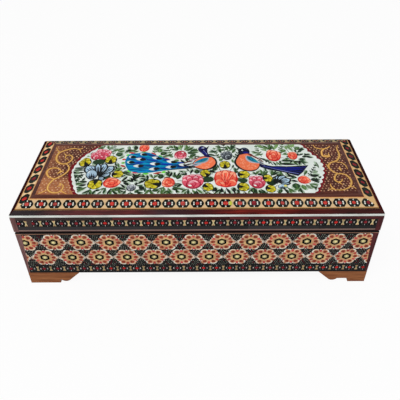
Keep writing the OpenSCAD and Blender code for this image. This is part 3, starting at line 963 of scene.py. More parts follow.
# Twigs: root, lean in degrees, length, pairs of leaflets and tone
TWIGS = (
    (70, -10.4, 62, 14, 5, "leaf_deep"), (15.6, 9, 106, 14, 5, "leaf"), (43, 12, 102, 13, 5, "leaf"),
    (56.4, 14.6, 78, 13, 5, "leaf"), (-17, 12, 106, 12, 4, "leaf"), (19, 18, 92, 9, 3, "leaf_deep"),
    (-56, 14, 92, 12, 4, "leaf_grey"), (-29, 16, 82, 9, 3, "leaf"), (-73, -5.6, -100, 9, 4, "leaf_deep"),
    (-4, 9, 20, 5, 1, "leaf"), (24, 9, 66, 12, 4, "leaf_deep"), (44, 10, -52, 8, 2, "night"),
    (72.5, -17, 50, 7, 3, "leaf_deep"),
)
# Dark leaves seen as one patch: middle and half sizes
DARK_PATCHES = (
    (6.7, -13.4, 3.0, 3.0), (28.8, -14.8, 2.8, 2.4), (-64.4, 6.6, 4.2, 3.2), (-56.4, -10.4, 2.4, 2.4),
    (46.4, -17.6, 2.6, 2.4),
)


# Flowers, drawn in a circle of radius 1 and then sized

def both(x, y, wide, tall, lean):
    """A petal on the left and its mirror image on the right."""
    return (-x, y, wide, tall, lean), (x, y, wide, tall, -lean)


# Petals: middle, half sizes and lean in degrees
BUD = (
    (0.0, 0.0, 0.98, 0.98, 0), (-0.42, 0.1, 0.52, 0.8, 12), (0.42, 0.06, 0.52, 0.8, -14),
    (0.0, 0.36, 0.56, 0.56, 0), (-0.06, -0.42, 0.68, 0.52, 6), (0.04, -0.02, 0.36, 0.44, 20),
)
PEONY = (
    (0.0, 0.0, 0.96, 0.96, 0), *both(0.5, 0.4, 0.48, 0.52, 30), (0.0, 0.52, 0.5, 0.46, 0),
    *both(0.7, -0.12, 0.3, 0.5, 25), *both(0.34, 0.08, 0.34, 0.62, 18), (0.0, 0.12, 0.24, 0.56, 0),
    *both(0.42, -0.52, 0.46, 0.4, 55), (0.0, -0.66, 0.4, 0.32, 8),
)
CUP = (
    (0.0, 0.0, 0.97, 0.97, 0), *both(0.52, 0.48, 0.44, 0.46, 35), (0.0, 0.58, 0.4, 0.4, 0),
    *both(0.7, -0.1, 0.3, 0.56, 14), *both(0.26, 0.22, 0.32, 0.5, 14), (0.02, -0.4, 0.72, 0.58, 0),
    (-0.12, -0.36, 0.44, 0.36, 20),
)
FAN = (
    (0.0, 0.0, 0.98, 0.98, 0), (-0.42, 0.05, 0.46, 0.78, 14), (0.44, 0.05, 0.44, 0.78, -14),
    (0.0, 0.3, 0.38, 0.66, 0), (-0.5, -0.44, 0.38, 0.4, 34), (0.46, -0.48, 0.4, 0.38, -36),
    (-0.1, -0.58, 0.36, 0.36, 6),
)
# Roses: middle, half sizes, lean, colour, petals, and sprigs from one angle to another, as long as said
ROSES = (
    (18.2, -12.5, 7.7, 9.4, 0, "coral", FAN, ((100, 150, 5.4, "dark"), (30, 80, 5.4, "dark"),
      (215, 325, 6, "dark"))),
    (-52.8, -16.3, 5.4, 5.4, -30, "coral", BUD, ((228, 320, 6.6, "mid"), (100, 128, 4, "dark"),
      (-30, 60, 4.6, "dark"))),
    (-36.0, 23.2, 3.6, 4.6, 0, "coral", BUD, ((165, 235, 8, "deep"), (-40, 20, 8, "mid"))),
    (-17.5, -16.3, 4.1, 5.1, 80, "coral", BUD, ((30, 140, 6.6, "dark"), (215, 330, 6.6, "mid"))),
    (50.9, 13.0, 5.1, 7.0, -15, "coral", BUD, ((60, 150, 9.5, "pale"), (150, 215, 7.5, "mid"),
      (215, 325, 6.4, "mid"), (-35, 60, 4.4, "mid"))),
    (63.7, 12.9, 3.3, 4.8, 10, "coral", BUD, ((-62, 62, 7.5, "dark"), (62, 140, 9, "pale"),
      (195, 290, 5, "deep"))),
    (66.6, -14.3, 4.0, 4.2, -60, "coral", BUD, ((225, 330, 8, "mid"), (130, 225, 6, "dark"),
      (-40, 100, 5, "deep"))),
    (-63.4, 16.0, 5.4, 6.4, -15, "pink", PEONY, ((5, 70, 8.5, "pale"), (80, 130, 4, "mid"))),
    (-67.6, 13.8, 3.3, 4.8, 8, "pink", CUP, ((140, 210, 3.4, "pale"),)),
    (-11.0, 14.7, 4.3, 5.2, 180, "pink", BUD, ((100, 215, 8, "mid"), (40, 100, 6, "pale"),
      (-65, 40, 7.5, "deep"), (215, 295, 5, "mid"))),
    (-2.4, -15.4, 6.6, 7.8, 5, "pink", CUP, ((48, 135, 6, "dark"), (140, 212, 5.4, "deep"),
      (212, 325, 5.4, "mid"))),
    (37.4, -16.3, 5.1, 6.9, 0, "pink", CUP, ((40, 140, 6, "deep"), (215, 325, 5.4, "deep"))),
    (-40.0, -21.6, 3.0, 3.6, 0, "ash", BUD, ((10, 175, 10, "dark"), (190, 350, 4.6, "deep"))),
    (19.9, 13.3, 3.8, 5.3, 20, "grey", CUP, ((55, 130, 8, "mid"), (130, 240, 7.4, "deep"),
      (-60, 55, 6, "deep"))),
)
# Blossoms: middle, half sizes, lean and sprigs
BLOSSOMS = (
    (-73.4, 6.5, 3.9, 5.0, -62, ()),
    (-56.8, 9.2, 3.9, 4.5, -90, ((-65, 35, 6.5, "deep"),)),
    (-62.8, -17.8, 4.5, 4.9, 90, ((160, 262, 6.6, "deep"), (270, 320, 5, "mid"))),
    (-50.1, -7.1, 3.5, 4.1, 180, ((40, 130, 4, "deep"), (-60, 30, 4.6, "deep"))),
    (-27.4, -17.5, 5.0, 5.0, -12, ((30, 140, 6.6, "deep"), (205, 320, 5.6, "mid"))),
    (5.3, -6.8, 3.2, 3.7, -50, ((-30, 60, 4, "deep"), (100, 170, 4, "deep"))),
    (7.0, -21.2, 3.2, 4.0, 152, ((200, 330, 5, "mid"),)),
    (18.2, 2.9, 3.5, 4.2, -90, ((130, 240, 7, "deep"), (-60, 50, 7, "deep"))),
    (29.8, -8.3, 3.6, 4.0, 178, ((-20, 60, 5, "mid"),)),
    (28.6, -21.2, 3.5, 4.3, 172, ((200, 340, 4, "deep"),)),
    (44.3, -12.3, 2.9, 4.0, 180, ((10, 110, 5.4, "deep"),)),
    (45.1, -23.2, 3.0, 3.7, 160, ((-60, 60, 5, "deep"), (200, 300, 3.4, "mid"))),
)


def rose(paint, spot, size, degrees, kind, petals):
    """A rose painted petal by petal from the back: a deep outline, a clear middle, a pale edge and a fold."""
    flower = ((0, 0), math.radians(degrees)), (spot, 0.0, size)
    deep, pale = kind + "_deep", kind + "_pale"

    def put(shape, colour, *petal):
        paint.dab(placed(shape, *petal, *flower), colour)

    for x, y, wide, tall, lean in petals:
        petal = (x, y), math.radians(lean), (wide, tall)
        put(ring((0, 0), 1.0), deep, petal)
        put(ring((0, 0.08), 0.84), kind, petal)
        top = math.pi / 2 + about(0.3)
        edge = [polar((0, 0.02), top + k, 0.7) for k in (1.0, 0.35, -0.35, -1.0)]
        put(stroke(edge, (0.12, 0.48, 0.14)), pale, petal)
        put(lens((0, -0.86), draw.uniform(0.7, 1.1), 0.24, top), deep, petal)
    if petals is FAN:
        for k in (-0.56, -0.2, 0.2, 0.6):
            put(stroke([(0.1 * k, -0.7), (0.5 * k, 0), (k, 0.74)], (0.03, 0.11, 0.05)), pale)
            put(stroke([(0.1 * k, -0.7), (0.55 * k, 0), (k + 0.12, 0.6)], (0.1, 0.07, 0.02)), deep)
    put(lens((-0.5, -0.42), 0.42, 0.2, -0.5), "white" if kind == "pink" else pale)


def blossom(paint, spot, size, degrees):
    """A yellow blossom, open on one side down to a dark throat."""
    def put(shape, colour):
        paint.dab(moved(moved(shape, (0, 0), math.radians(degrees)), spot, 0.0, size), colour)

    put(ring((0.05, 0), 1.1, 1.06), "night")
    for turn in (0.95, -0.95, 2.1, -2.1, math.pi):
        put(ring(polar((0, 0), turn, 0.48), 0.52, 0.44, 14, turn), "yellow")
        put(lens(polar((0, 0), turn + 0.2, 0.94), 0.5, 0.2, turn + math.pi), "yellow_pale")
        put(lens(polar((0, 0), turn - 0.3, 0.3), 0.5, 0.12, turn - 0.3), "olive")
    put([(1.1, 0.42), (0.3, 0.24), (-0.26, 0), (0.3, -0.24), (1.1, -0.42)], "night")
    for turn in (2.7, -2.7):
        put(lens((0.1, 0), 0.8, 0.1, turn), "olive")


IRIS_LEFT = {
    "root": (-62.2, -9.0),
    "ball": (-66.6, -7.6, 3.7, 5.2, 12),
    "petals": (
        (18, 7.5, 4.6), (-48, 5.5, 3.4), (130, 14.0, 7.6), (52, 13.2, 6.4), (80, 13.6, 5.4),
        (100, 13.4, 3.4),
    ),
    "round": (-63, -4, 9, 9),
    "sprigs": ((168, 232, 8, "dark"), (-30, 30, 4, "deep")),
    "touches": (),
}
IRIS_RIGHT = {
    "root": (49.8, -16.6),
    "ball": (52.4, -21.2, 2.9, 2.4, 0),
    "petals": ((96, 5.6, 3.6), (74, 7.0, 4.0), (-10, 7.6, 3.4), (50, 8.2, 4.6), (18, 8.6, 5.0)),
    "round": (53.2, -16, 5, 6),
    "sprigs": ((40, 120, 4.6, "mid"), (250, 340, 5, "mid")),
    "touches": ((49.1, -15.6, 1.7, 2.7, 14, "night"), (54.3, -20.9, 1.2, 1.6, 12, "sage"),
                (54.2, -20.4, 0.9, 0.9, 10, "yellow_pale")),
}


def iris(paint, plan):
    """A blue-grey flower whose petals are dark at the root, pale at the edge and outlined in black."""
    for degrees, length, width in plan["petals"]:
        turn = math.radians(degrees)
        root = plan["root"]
        paint.dab(lens(root, length + 0.8, width + 1.5, turn, 0, 0.62, 9), "night")
        paint.dab(lens(polar(root, turn, 0.4), length - 0.7, width - 0.7, turn, 0, 0.64, 9), "sky")
        for k in (-1, 1):
            paint.dab(lens(root, 0.9 * length, 0.2 * width, turn + k * 0.14), "slate")
        paint.dab(lens(root, 0.8 * length, 0.52 * width, turn, 0, 0.5), "night")
        for k in (-1, 1):
            edge = polar(root, turn + k * 0.2, 0.3 * length)
            paint.dab(lens(edge, 0.6 * length, 0.4, turn - k * 0.04), "sky")
    x, y, rx, ry, lean = plan["ball"]

    def put(shape, colour):
        paint.dab(moved(shape, (x, y), math.radians(lean), (rx, ry)), colour)

    put(ring((0, 0), 1.0, count=20), "night")
    put(ring((0, 0.02), 0.87, count=20), "sky")
    for k in (-0.5, -0.25, 0, 0.25, 0.5):
        put(lens((0.7 * k, -0.84), 1.25 - 0.9 * abs(k), 0.2, math.pi / 2 - 0.8 * k), "slate")
    for k in (-0.3, 0, 0.3):
        put(lens((0.7 * k, -0.9), 0.95 - abs(k), 0.3, math.pi / 2 - 0.9 * k), "night")
    put(lens((-0.62, 0.3), 0.7, 0.16, 0.9), "white")
    for tx, ty, wide, tall, count, colour in plan["touches"]:
        paint.dab(ring((tx, ty), wide, tall, count), colour)


# Birds

PEACOCK_TAIL = (
    (-45.4, 15.4), (-47.2, 8.3), (-46.2, 2.2), (-43.6, -3.2), (-40.2, -5), (-35.4, -6.1), (-30, -5.7),
    (-25, -4.6), (-20, -3.3), (-15, -2.1), (-10, -1.3), (-2.5, -1.2), (-1.6, 3.6), (-8.3, 4.2),
    (-11.7, 5.8), (-16.7, 8), (-21.7, 11), (-26.7, 13.9), (-31.2, 16.9), (-34.6, 17.9), (-39.6, 17.1),
)
PEACOCK_BODY = (
    (-1.8, 1), (1.5, -1.2), (5.1, -2.4), (9, -1), (11.6, 2), (12.2, 6), (11.2, 9.6), (9, 11.8), (6, 12.2),
    (2.4, 11), (-0.6, 8), (-2.2, 4.5),
)
PEACOCK_NECK = (
    (5.4, 12), (4.6, 14), (3.3, 16.4), (1.4, 19), (0.8, 22), (2, 24.6), (3.6, 25.2), (5.6, 24),
    (6.6, 22.2), (7, 20), (7.1, 17), (8.4, 13.6), (9.8, 11.6), (7.4, 11.2),
)
FEATHER_EYES = (
    (-43.2, 12.4), (-43.6, 6.2), (-36.6, 9.5), (-37.2, 1.8), (-36, 15.4), (-26, 10.6), (-26.6, 4),
    (-26.8, -1.6), (-16, 6.2), (-16.2, 0.4), (-7.8, 2.6),
)
# Strokes and dashes: place, then length and turn or lean and length
BACK_STROKES = (
    (-9, 2.4, 7, 0.12, "night"), (-8.4, 0.8, 8, 0.0, "night"), (-8, 3.9, 6, 0.3, "white"),
    (-7.4, 4.8, 5, 0.42, "night"), (-6, 1.6, 6, 0.22, "white"), (-3.6, 1.2, 5, 0.5, "slate"),
    (-9, -0.6, 9.6, -0.02, "night"),
)
PEACOCK_BELLY = ((9.6, 12), (12.2, 8), (12.5, 3.6), (9.6, -0.9), (5, -2.9), (1, -1.4))
TAIL_DASHES = {
    "scarlet": (
        (-43.4, 17.2, -14, 5), (-29, 16.1, -40, 5), (-19.5, 9.8, -35, 4.4), (-48.2, 9.6, 12, 3),
        (-48, 1.8, -32, 4.2), (-39.2, -5.7, -4, 4.8), (-25, -6.2, 16, 6),
    ),
    "lime": (
        (-46, 14.8, 42, 3.4), (-48.1, 5.5, 8, 3.4), (-43, -3.9, -42, 3.8), (-32.2, -6.9, 2, 5),
        (-21, -5, 40, 3.6), (-24.3, 13, -46, 3.8), (-35.3, 17.7, 0, 4.4),
    ),
}


def feathers(paint, spots, root, colours, length, width):
    """Fine strokes from each spot towards a root."""
    for i, spot in enumerate(spots):
        turn = math.atan2(root[1] - spot[1], root[0] - spot[0])
        paint.dab(lens(spot, length * draw.uniform(0.7, 1.2), width, turn, 0, 0.4), colours[i % len(colours)])


def scattered(outline, count, inset):
    """Places inside an outline, away from its edge."""
    middle = [sum(p[k] for p in outline) / len(outline) for k in (0, 1)]
    found = []
    for _ in range(count):
        x, y = draw.choice(outline)
        share = inset * math.sqrt(draw.random())
        found.append((middle[0] + (x - middle[0]) * share, middle[1] + (y - middle[1]) * share))
    return found


def grown(points, reach):
    """An outline pushed outwards all round."""
    found = []
    for i, p in enumerate(points):
        ahead = (Vector(points[(i + 1) % len(points)]) - Vector(points[i - 1])).normalized()
        found.append((p[0] + ahead.y * reach, p[1] - ahead.x * reach))
    return found


def peacock_tail(paint):
    root = (0, 1.6)
    for colour, dashes in TAIL_DASHES.items():
        for x, y, degrees, length in dashes:
            turn, width = math.radians(degrees), 2.2
            start = polar((x, y), turn, -length / 2)
            if colour == "scarlet":
                paint.dab(lens(start, length, 1.9, turn), "rust")
                width = 1.3
            paint.dab(lens(start, length * 0.9, width, turn), colour)
    edge = smooth(PEACOCK_TAIL, True, 4)
    paint.dab(edge, "blue")
    tip = [polar(p, 0.0, 0.7) for p in edge if p[0] < -37]
    blues = ("cyan", "azure", "cyan", "blue_deep")
    feathers(paint, tip, root, blues, 8, 1.1)
    feathers(paint, scattered(edge, 110, 0.84), root, blues, 7, 0.8)
    feathers(paint, [polar(p, 0.0, 2.4) for p in FEATHER_EYES if p[0] < -10], root, ("blue_deep",), 9, 1.7)
    narrow = [(x, y) for x in (-16, -13, -10) for y in (0.2, 1.8, 3.4)]
    feathers(paint, narrow, root, ("blue_deep", "navy"), 8, 0.9)
    for x, y in FEATHER_EYES:
        turn = math.atan2(root[1] - y, root[0] - x)
        white = 2.4 if x < -40 or y > 15 else 4.2
        paint.dab(lens(polar((x, y), turn, -white), white + 2, 3.1, turn, 0, 0.5), "white")
        paint.dab(lens(polar((x, y), turn, -1.3), 4.6, 3.2, turn, 0, 0.42), "night")
    paint.dab(stroke([(-21, -3.5), (-12, -1.8), (-1, -0.9)], (0.3, 0.9, 0.6)), "night")
    for k in range(6):
        start = (-9.6 + 0.9 * k, 4.6 - 0.95 * k)
        colour = ("night", "white", "night", "lilac")[k % 4]
        paint.dab(lens(start, 7.6 - 0.5 * k, 1.15, 0.02 - 0.04 * k), colour)


def plumage(paint, outline, low, lean):
    """A breast in orange with a dark outline, and short strokes that lighten towards the belly."""
    edge = smooth(outline, True, 4)
    paint.dab(moved(grown(edge, 0.8), lean), "night")
    paint.dab(edge, "orange")
    for x, y in scattered(edge, 60, 0.8):
        colour = "orange_pale" if y < low + about(3) else draw.choice(("orange", "orange_pale"))
        paint.dab(lens((x, y), 1.6, 0.5, draw.uniform(-1.4, -0.6)), colour)


def wing(paint, root, tip, bend):
    """A folded wing: a pale edge, a teal blade and fine flight feathers."""
    length = math.dist(root, tip)
    turn = math.atan2(tip[1] - root[1], tip[0] - root[0])
    paint.dab(lens(polar(root, turn, -0.8), length * 1.15, length * 0.5, turn, bend * 1.5, 0.42, 8), "lilac")
    paint.dab(lens(root, length, length * 0.36, turn, bend * 0.6, 0.42, 8), "teal")
    for k in range(4):
        start = polar(root, turn, length * (0.12 + 0.12 * k))
        blade = lens(start, length * 0.55, length * 0.07, turn + 0.06 * (k - 1.5), bend * 0.5)
        paint.dab(blade, ("blue_deep", "cyan")[k % 2])


def peacock(paint):
    peacock_tail(paint)
    plumage(paint, PEACOCK_BODY, 4, (0.3, -0.2))
    paint.dab(stroke([(9, 12.2), (3, 11.8), (-2, 8.6), (-8, 4.9)], (0.5, 1.3, 1.4, 0.5)), "rust")
    paint.dab(stroke([(2, 10.8), (-2, 8), (-6, 5.8)], (0.3, 0.7, 0.3)), "lilac")
    paint.dab(lens((-3.6, 0.6), 8, 3.4, 0.5, 0.4, 0.5, 8), "lilac")
    wing(paint, (7.4, 10.4), (-1.6, 5), 0.7)
    for x, y, length, turn, colour in BACK_STROKES:
        paint.dab(lens((x, y), length, 1.0, turn, 0.2), colour)
    paint.dab(stroke(PEACOCK_BELLY, (0.5, 1.1, 1.2, 0.9, 0.3)), "night")
    neck = smooth(PEACOCK_NECK, True, 4)
    paint.dab(neck, "navy")
    paint.dab(stroke([(3, 18), (4.4, 16.8), (6, 14)], (0.4, 1.1, 0.3)), "royal")
    for x, y in ((4.2, 20), (5, 18.4), (5.8, 16.6)):
        paint.dab(lens((x, y), 2.6, 0.5, -1.1), "glint")
    paint.dab(lens((2.6, 22.2), 2.8, 1.2, 0.5), "glint")
    paint.dab(ring((4.4, 22.6), 0.62, 0.7, 12), "white")
    paint.dab(ring((4.5, 22.6), 0.34, 0.4, 10), "night")
    paint.dab([(6.2, 22.8), (8.3, 25.4), (7, 21.2)], "night")


SONGBIRD_BODY = (
    (28.8, 15.6), (27.2, 11.6), (25.6, 7), (25.6, 4), (27, 0.4), (30, -2.6), (34, -4), (37.4, -3.2),
    (39.8, 0), (40.6, 3.4), (39.4, 6), (36.5, 10.5), (34.4, 15.2), (31.6, 16),
)
SONGBIRD_HEAD = (
    (28.4, 14.4), (28, 18.6), (29.2, 21.6), (32, 23.2), (34.4, 21.8), (35.5, 18.8), (35, 16), (32, 15.4),
)
SONGBIRD_BREAST = ((29, 21), (28.2, 15), (25.4, 7.6), (25.6, 2.6), (29, -2.6), (34, -4.4), (39, -2.4))
SONGBIRD_TAIL = (
    (40, 4.2), (44, 2), (48, 0.2), (55, -0.4), (62, 0.2), (72, 1.3), (69.5, -2.6), (67, -6.6),
    (63.7, -10.2), (60.5, -8.8), (55.3, -5.8), (51, -4.8), (46, -3.2), (41, -0.2),
)


def songbird(paint):
    paint.dab(list(SONGBIRD_TAIL), "navy")
    paint.dab(lens((45, 0.6), 22, 4.2, -0.13, -0.5, 0.55, 8), "royal")
    for k in range(9):
        t = k / 8
        line = [(43, 2 - 1.6 * t), (55, -0.7 - 4.4 * t), (71 - 7.4 * t, 0.9 - 10 * t)]
        colour = ("night", "royal", "night", "glint")[k % 4 if k > 5 else k % 2]
        paint.dab(stroke(line, (0.2, 0.6, 0.3)), colour)
    paint.dab(stroke([(41, 4), (48, 0.6), (58, 0.1), (72, 1.5)], (0.9, 1.0, 0.8, 0.3)), "night")
    paint.dab(stroke([(46, -3), (56, -6.2), (63.8, -10)], (0.3, 0.7, 0.4)), "night")
    plumage(paint, SONGBIRD_BODY, 3, (-0.3, -0.2))
    paint.dab(stroke([(34, 16), (38, 12), (41.6, 8.4), (43.6, 5.4)], (0.6, 1.6, 1.0, 0.4)), "rust")
    for k in range(4):
        paint.dab(lens((39.5 + 0.5 * k, 8.2 - 1.3 * k), 4.2, 0.8, -0.65), ("night", "lilac")[k % 2])
    wing(paint, (33.2, 12.8), (40.4, 4.6), -0.8)
    head = smooth(SONGBIRD_HEAD, True, 4)
    paint.dab(grown(head, 0.25), "night")
    paint.dab(head, "navy")
    paint.dab(lens((30.6, 17.4), 4.4, 2.2, -0.2), "royal")
    paint.dab(stroke([(30.4, 21.6), (32, 22.2), (34, 20.6)], (0.4, 1.0, 0.3)), "slate")
    paint.dab(stroke([(29.6, 20.6), (28, 21.4), (26.4, 23.4)], (2.2, 1.7, 0.3)), "night")
    paint.dab(stroke(SONGBIRD_BREAST, (0.8, 1.2, 1.1, 1.2, 0.9, 0.3)), "night")
    paint.dab(lens((33.6, 16.2), 5.4, 2.0, -0.75, 0.2), "rust")
    paint.dab(ring((30.6, 19.8), 0.6, 0.68, 12), "white")
    paint.dab(ring((30.5, 19.8), 0.32, 0.38, 10), "night")


# Medallion and burgundy ends

MEDALLION_RIGHT = (
    (70.8, 27.2), (73.7, 21.7), (76, 16.2), (78.8, 11.6), (80.6, 7.4), (81.4, 2.8), (81.3, -2),
    (80.6, -6), (79.4, -10.4), (77.8, -15), (75.8, -19.6), (73.6, -23.8), (71.4, -27.9),
)
MEDALLION_LEFT = (
    (-71.2, -27.9), (-74, -24), (-75.8, -19.6), (-77.4, -15.2), (-78.8, -10.4), (-79.6, -6), (-79.8, -2),
    (-79.2, 2.4), (-78.2, 6.8), (-76.6, 11), (-74.2, 15.6), (-70.9, 20), (-67.4, 23.8), (-63.6, 27.2),
)
SCALLOP_PITCH = 4.9
SCALLOP_RIGHT = 1.3
SCALLOP_LEFT = 0.6
SCALLOP_MEAN = 0.6
CRIMSON_RIGHT, CRIMSON_LEFT = 1.5, 1.9


def scalloped(points, depth, grow):
    """One curved end of the medallion with its scallops, pushed outwards."""
    line = smooth(points, False, 12)
    run, found = 0.0, []
    for i, p in enumerate(line):
        before, after = line[max(i - 1, 0)], line[min(i + 1, len(line) - 1)]
        run += math.dist(before, p)
        ahead = (Vector(after) - Vector(before)).normalized()
        lift = grow + depth * (abs(math.sin(math.pi * run / SCALLOP_PITCH)) - SCALLOP_MEAN)
        found.append((p[0] - ahead.y * lift, p[1] + ahead.x * lift))
    return found


def medallion(face, rim):
    inlay = Inlay(face, rim)
    rim_coat = (CRIMSON_RIGHT, CRIMSON_LEFT, PAINT["crimson"], 0.006)
    for right, left, materials, height in (rim_coat, (0, 0, [MEDALLION_WHITE], 0.012)):
        edge = scalloped(MEDALLION_RIGHT, SCALLOP_RIGHT, right)
        edge += scalloped(MEDALLION_LEFT, SCALLOP_LEFT, left)
        inlay.tile(edge, materials, height)
    inlay.build("medallion", "lid", "painted_panel")


# Scrolls: points along each line and the widths it runs through
SCROLLS = (
    (((-78.4, 18), (-79.6, 21), (-82, 22.8), (-84.5, 23.3), (-87.6, 22.2), (-91, 20), (-93.2, 17.6),
      (-93.7, 13.3), (-92.8, 9.2), (-90.5, 6), (-87.6, 4.7), (-85, 5.5), (-83.3, 8), (-82.7, 10.8),
      (-83.5, 13.6), (-85.6, 15.2), (-87.6, 14.2), (-87.4, 11.6), (-85.2, 10)),
     (0.4, 1.5, 1.6, 1.5, 1.2, 0.5)),
    (((-80.2, 22.4), (-79, 23), (-78, 24)), (1.2, 0.5)),
    (((-96.4, 24.8), (-95.4, 22), (-93.3, 19.2)), (0.4, 1.0)),
    (((-89.8, 17.2), (-88.4, 16), (-87.4, 14)), (0.4, 1.2)),
    (((-86.4, 5), (-83.8, 3), (-82.6, 0), (-82.6, -3.4), (-84.2, -7), (-86.8, -10), (-89.3, -12.4),
      (-90.5, -15), (-91.3, -19), (-90.6, -22.8), (-88, -25.5), (-84.4, -26), (-82.2, -23.8),
      (-81.8, -20.4), (-82.6, -18), (-84.8, -16.4)), (0.8, 1.4, 1.5, 1.5, 1.3, 0.5)),
    (((-88.9, -12.1), (-92.5, -10.3), (-95, -7), (-95.8, -3.7), (-94.6, -0.8), (-91.6, 0.2),
      (-88.8, -0.9), (-87.2, -3.2), (-88.2, -5.6)), (1.0, 1.4, 1.4, 1.0, 0.5)),
    (((-85.2, -3), (-87, -4.2), (-88.8, -6.2)), (0.4, 1.9, 0.4)),
    (((-84.8, -16.4), (-83.8, -18.6), (-85.6, -19.8)), (0.5, 1.0, 0.4)),
    (((-82.4, -24), (-80.4, -25.8), (-78, -27.4)), (0.9, 0.8, 0.4)),
    (((-95.6, -27.4), (-93.4, -25.6), (-91.2, -23.6)), (0.4, 0.8, 0.6)),
    (((79.8, 26.2), (81, 22.4), (85.6, 21), (89, 22.4), (91, 24.4)), (0.5, 1.1, 1.2, 0.6)),
    (((86.6, 21), (84.4, 18.8), (83.6, 15.4), (83.8, 12.6), (86.2, 11.2), (88, 12.4), (88, 15.6)),
     (0.9, 1.4, 1.5, 1.2, 0.5)),
    (((84, 11.2), (86, 13), (88.8, 11)), (0.4, 1.7, 0.4)),
    (((96.8, 25.6), (95, 21.6), (95.1, 17.4), (94.9, 13.4), (93.6, 9.8), (91.4, 6.6), (87.6, 4.6),
      (85.4, 2), (85, -1.8), (86.5, -5.4), (89, -7.9), (92, -8), (94.5, -10.4), (95.6, -15),
      (94.8, -18.8), (92.6, -22.2), (88.6, -24.5), (84.4, -24.6)), (0.6, 1.6, 1.6, 1.4, 1.5, 1.4, 0.9)),
    (((90.6, 5.4), (94.4, 4.2), (96.2, 1), (96.4, -3)), (0.7, 1.0, 0.5)),
    (((92, -0.4), (91.6, -2.6), (92, -5.2)), (0.4, 2.0, 0.5)),
    (((84, 2.8), (84.4, 0), (85.2, -2.4)), (0.4, 0.8)),
    (((88.6, -8), (86.6, -10.8), (85.8, -14.6), (87.4, -16.8), (89.6, -15.8), (90.8, -13.4)),
     (1.0, 1.4, 1.2, 0.4)),
    (((87.4, -16.6), (88.4, -18), (89.4, -19.6)), (0.9, 0.4)),
    (((82, -18.4), (82, -21.4), (83.4, -24.2)), (0.4, 1.1, 1.4)),
    (((80, -24.6), (82, -23.6), (84, -24.6)), (0.4, 1.4, 1.0)),
    (((93.4, -21.4), (95.4, -21.8), (96.6, -23.6)), (0.8, 0.9, 0.4)),
)
SCROLL_BODY, SCROLL_LIGHT = 0.88, 0.28
DOT_STEP = 2.3
DOT_GAP = 1.3
DOT_SCATTER = 0.45
DOT_MARGIN = 0.8
DOT_SIZES = (0.3, 0.56)
DOT_COLUMNS, DOT_ROWS = 42, 12


def edge_at(points, y):
    """Where an end of the medallion is crossed at one height on the panel."""
    for (x0, y0), (x1, y1) in zip(points, points[1:]):
        if min(y0, y1) <= y <= max(y0, y1):
            return x0 + (x1 - x0) * (y - y0) / (y1 - y0)
    return min(points, key=lambda p: abs(p[1] - y))[0]


def burgundy_ends(paint, half_deep):
    """Small dots set out in uneven rows on the ground of both ends, and gold scrolls over them."""
    for i in range(-DOT_COLUMNS, DOT_COLUMNS + 1):
        for j in range(-DOT_ROWS, DOT_ROWS + 1):
            x = (i + (j % 2) / 2) * DOT_STEP + about(DOT_SCATTER)
            y = j * DOT_STEP + about(DOT_SCATTER)
            beyond = max(x - edge_at(MEDALLION_RIGHT, y), edge_at(MEDALLION_LEFT, y) - x)
            if beyond > DOT_GAP and abs(y) < half_deep - DOT_MARGIN:
                size = draw.uniform(*DOT_SIZES)
                paint.dab(ring((x, y), size, size * 1.1, 8), "dot")
    for points, widths in SCROLLS:
        for share, colour in ((SCROLL_BODY, "gold"), (SCROLL_LIGHT, "gold_pale")):
            paint.dab(stroke(points, [w * share for w in widths], 6), colour)


EDGE_LENGTHS = (12, 30)
FAR_EDGE, NEAR_EDGE = 1.1, 0.4


def edge_lines(paint, half_long, half_deep):
    """Brown lines along the panel's long edges."""
    for low, high in ((half_deep - FAR_EDGE, half_deep), (-half_deep, NEAR_EDGE - half_deep)):
        for x, end in lengths(half_long, *EDGE_LENGTHS):
            paint.dab(strip(x, end, low, high), "brown")


FIELD = [(71, -27.6), (79.5, -8), (80.5, 3), (70.5, 27), (-65.5, 27), (-78, 5), (-79, -4), (-71.5, -27.6)]
IRISES = (IRIS_LEFT, IRIS_RIGHT)
PANEL_MARGIN = 0.1


def leaves(paint):
    for x, y, degrees, length, pairs, tone in TWIGS:
        twig(paint, (x, y), degrees, length, pairs, tone)
    for tone, rows in LEAVES.items():
        for x, y, degrees, length, width in rows:
            leaf(paint, (x, y), degrees, length, width, tone)
    for x, y, rx, ry in DARK_PATCHES:
        paint.dab(ring((x, y), rx, ry, 9), "leaf_deep")


def birds(paint):
    peacock(paint)
    songbird(paint)


def flowers(paint):
    for x, y, rx, ry, degrees, kind, petals, _ in ROSES:
        rose(paint, (x, y), (rx, ry), degrees, kind, petals)
    for plan in IRISES:
        iris(paint, plan)
    for x, y, rx, ry, degrees, _ in BLOSSOMS:
        blossom(paint, (x, y), (rx, ry), degrees)


def leaflets(paint):
    sprays = [(row[:4], row[-1]) for row in ROSES + BLOSSOMS]
    sprays += [(plan["round"], plan["sprigs"]) for plan in IRISES]
    for (x, y, rx, ry), sprigs in sprays:
        for start, end, reach, kind in sprigs:
            fringe(paint, (x, y), (rx + 0.1, ry + 0.1), start, end, reach, kind)


def painted_panel():
    _, hi = (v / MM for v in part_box("painted_panel"))
    face = Face(UP * hi.z, Vector((1, 0, 0)), Vector((0, 1, 0)))
    half_long, half_deep = hi.x - PANEL_MARGIN, hi.y - PANEL_MARGIN
    rim = strip(-half_long, half_long, -half_deep, half_deep)
    medallion(face, rim)
    ends = Painting(face, rim)
    burgundy_ends(ends, half_deep)
    edge_lines(ends, half_long, half_deep)
    ends.build("gold_scrolls", "lid", "painted_panel")
    subjects = {"leaves": leaves, "birds": birds, "flowers": flowers, "leaflets": leaflets}
    for name, subject in subjects.items():
        painting = Painting(face, FIELD)
        subject(painting)
        painting.build(name, "lid", "painted_panel")


# Velvet linings

PAD_ROUND = 0.7
NAP = 0.05
NAP_PER_METRE = 900
PAD_ROW = 1.5
WALL_CARD = 0.8


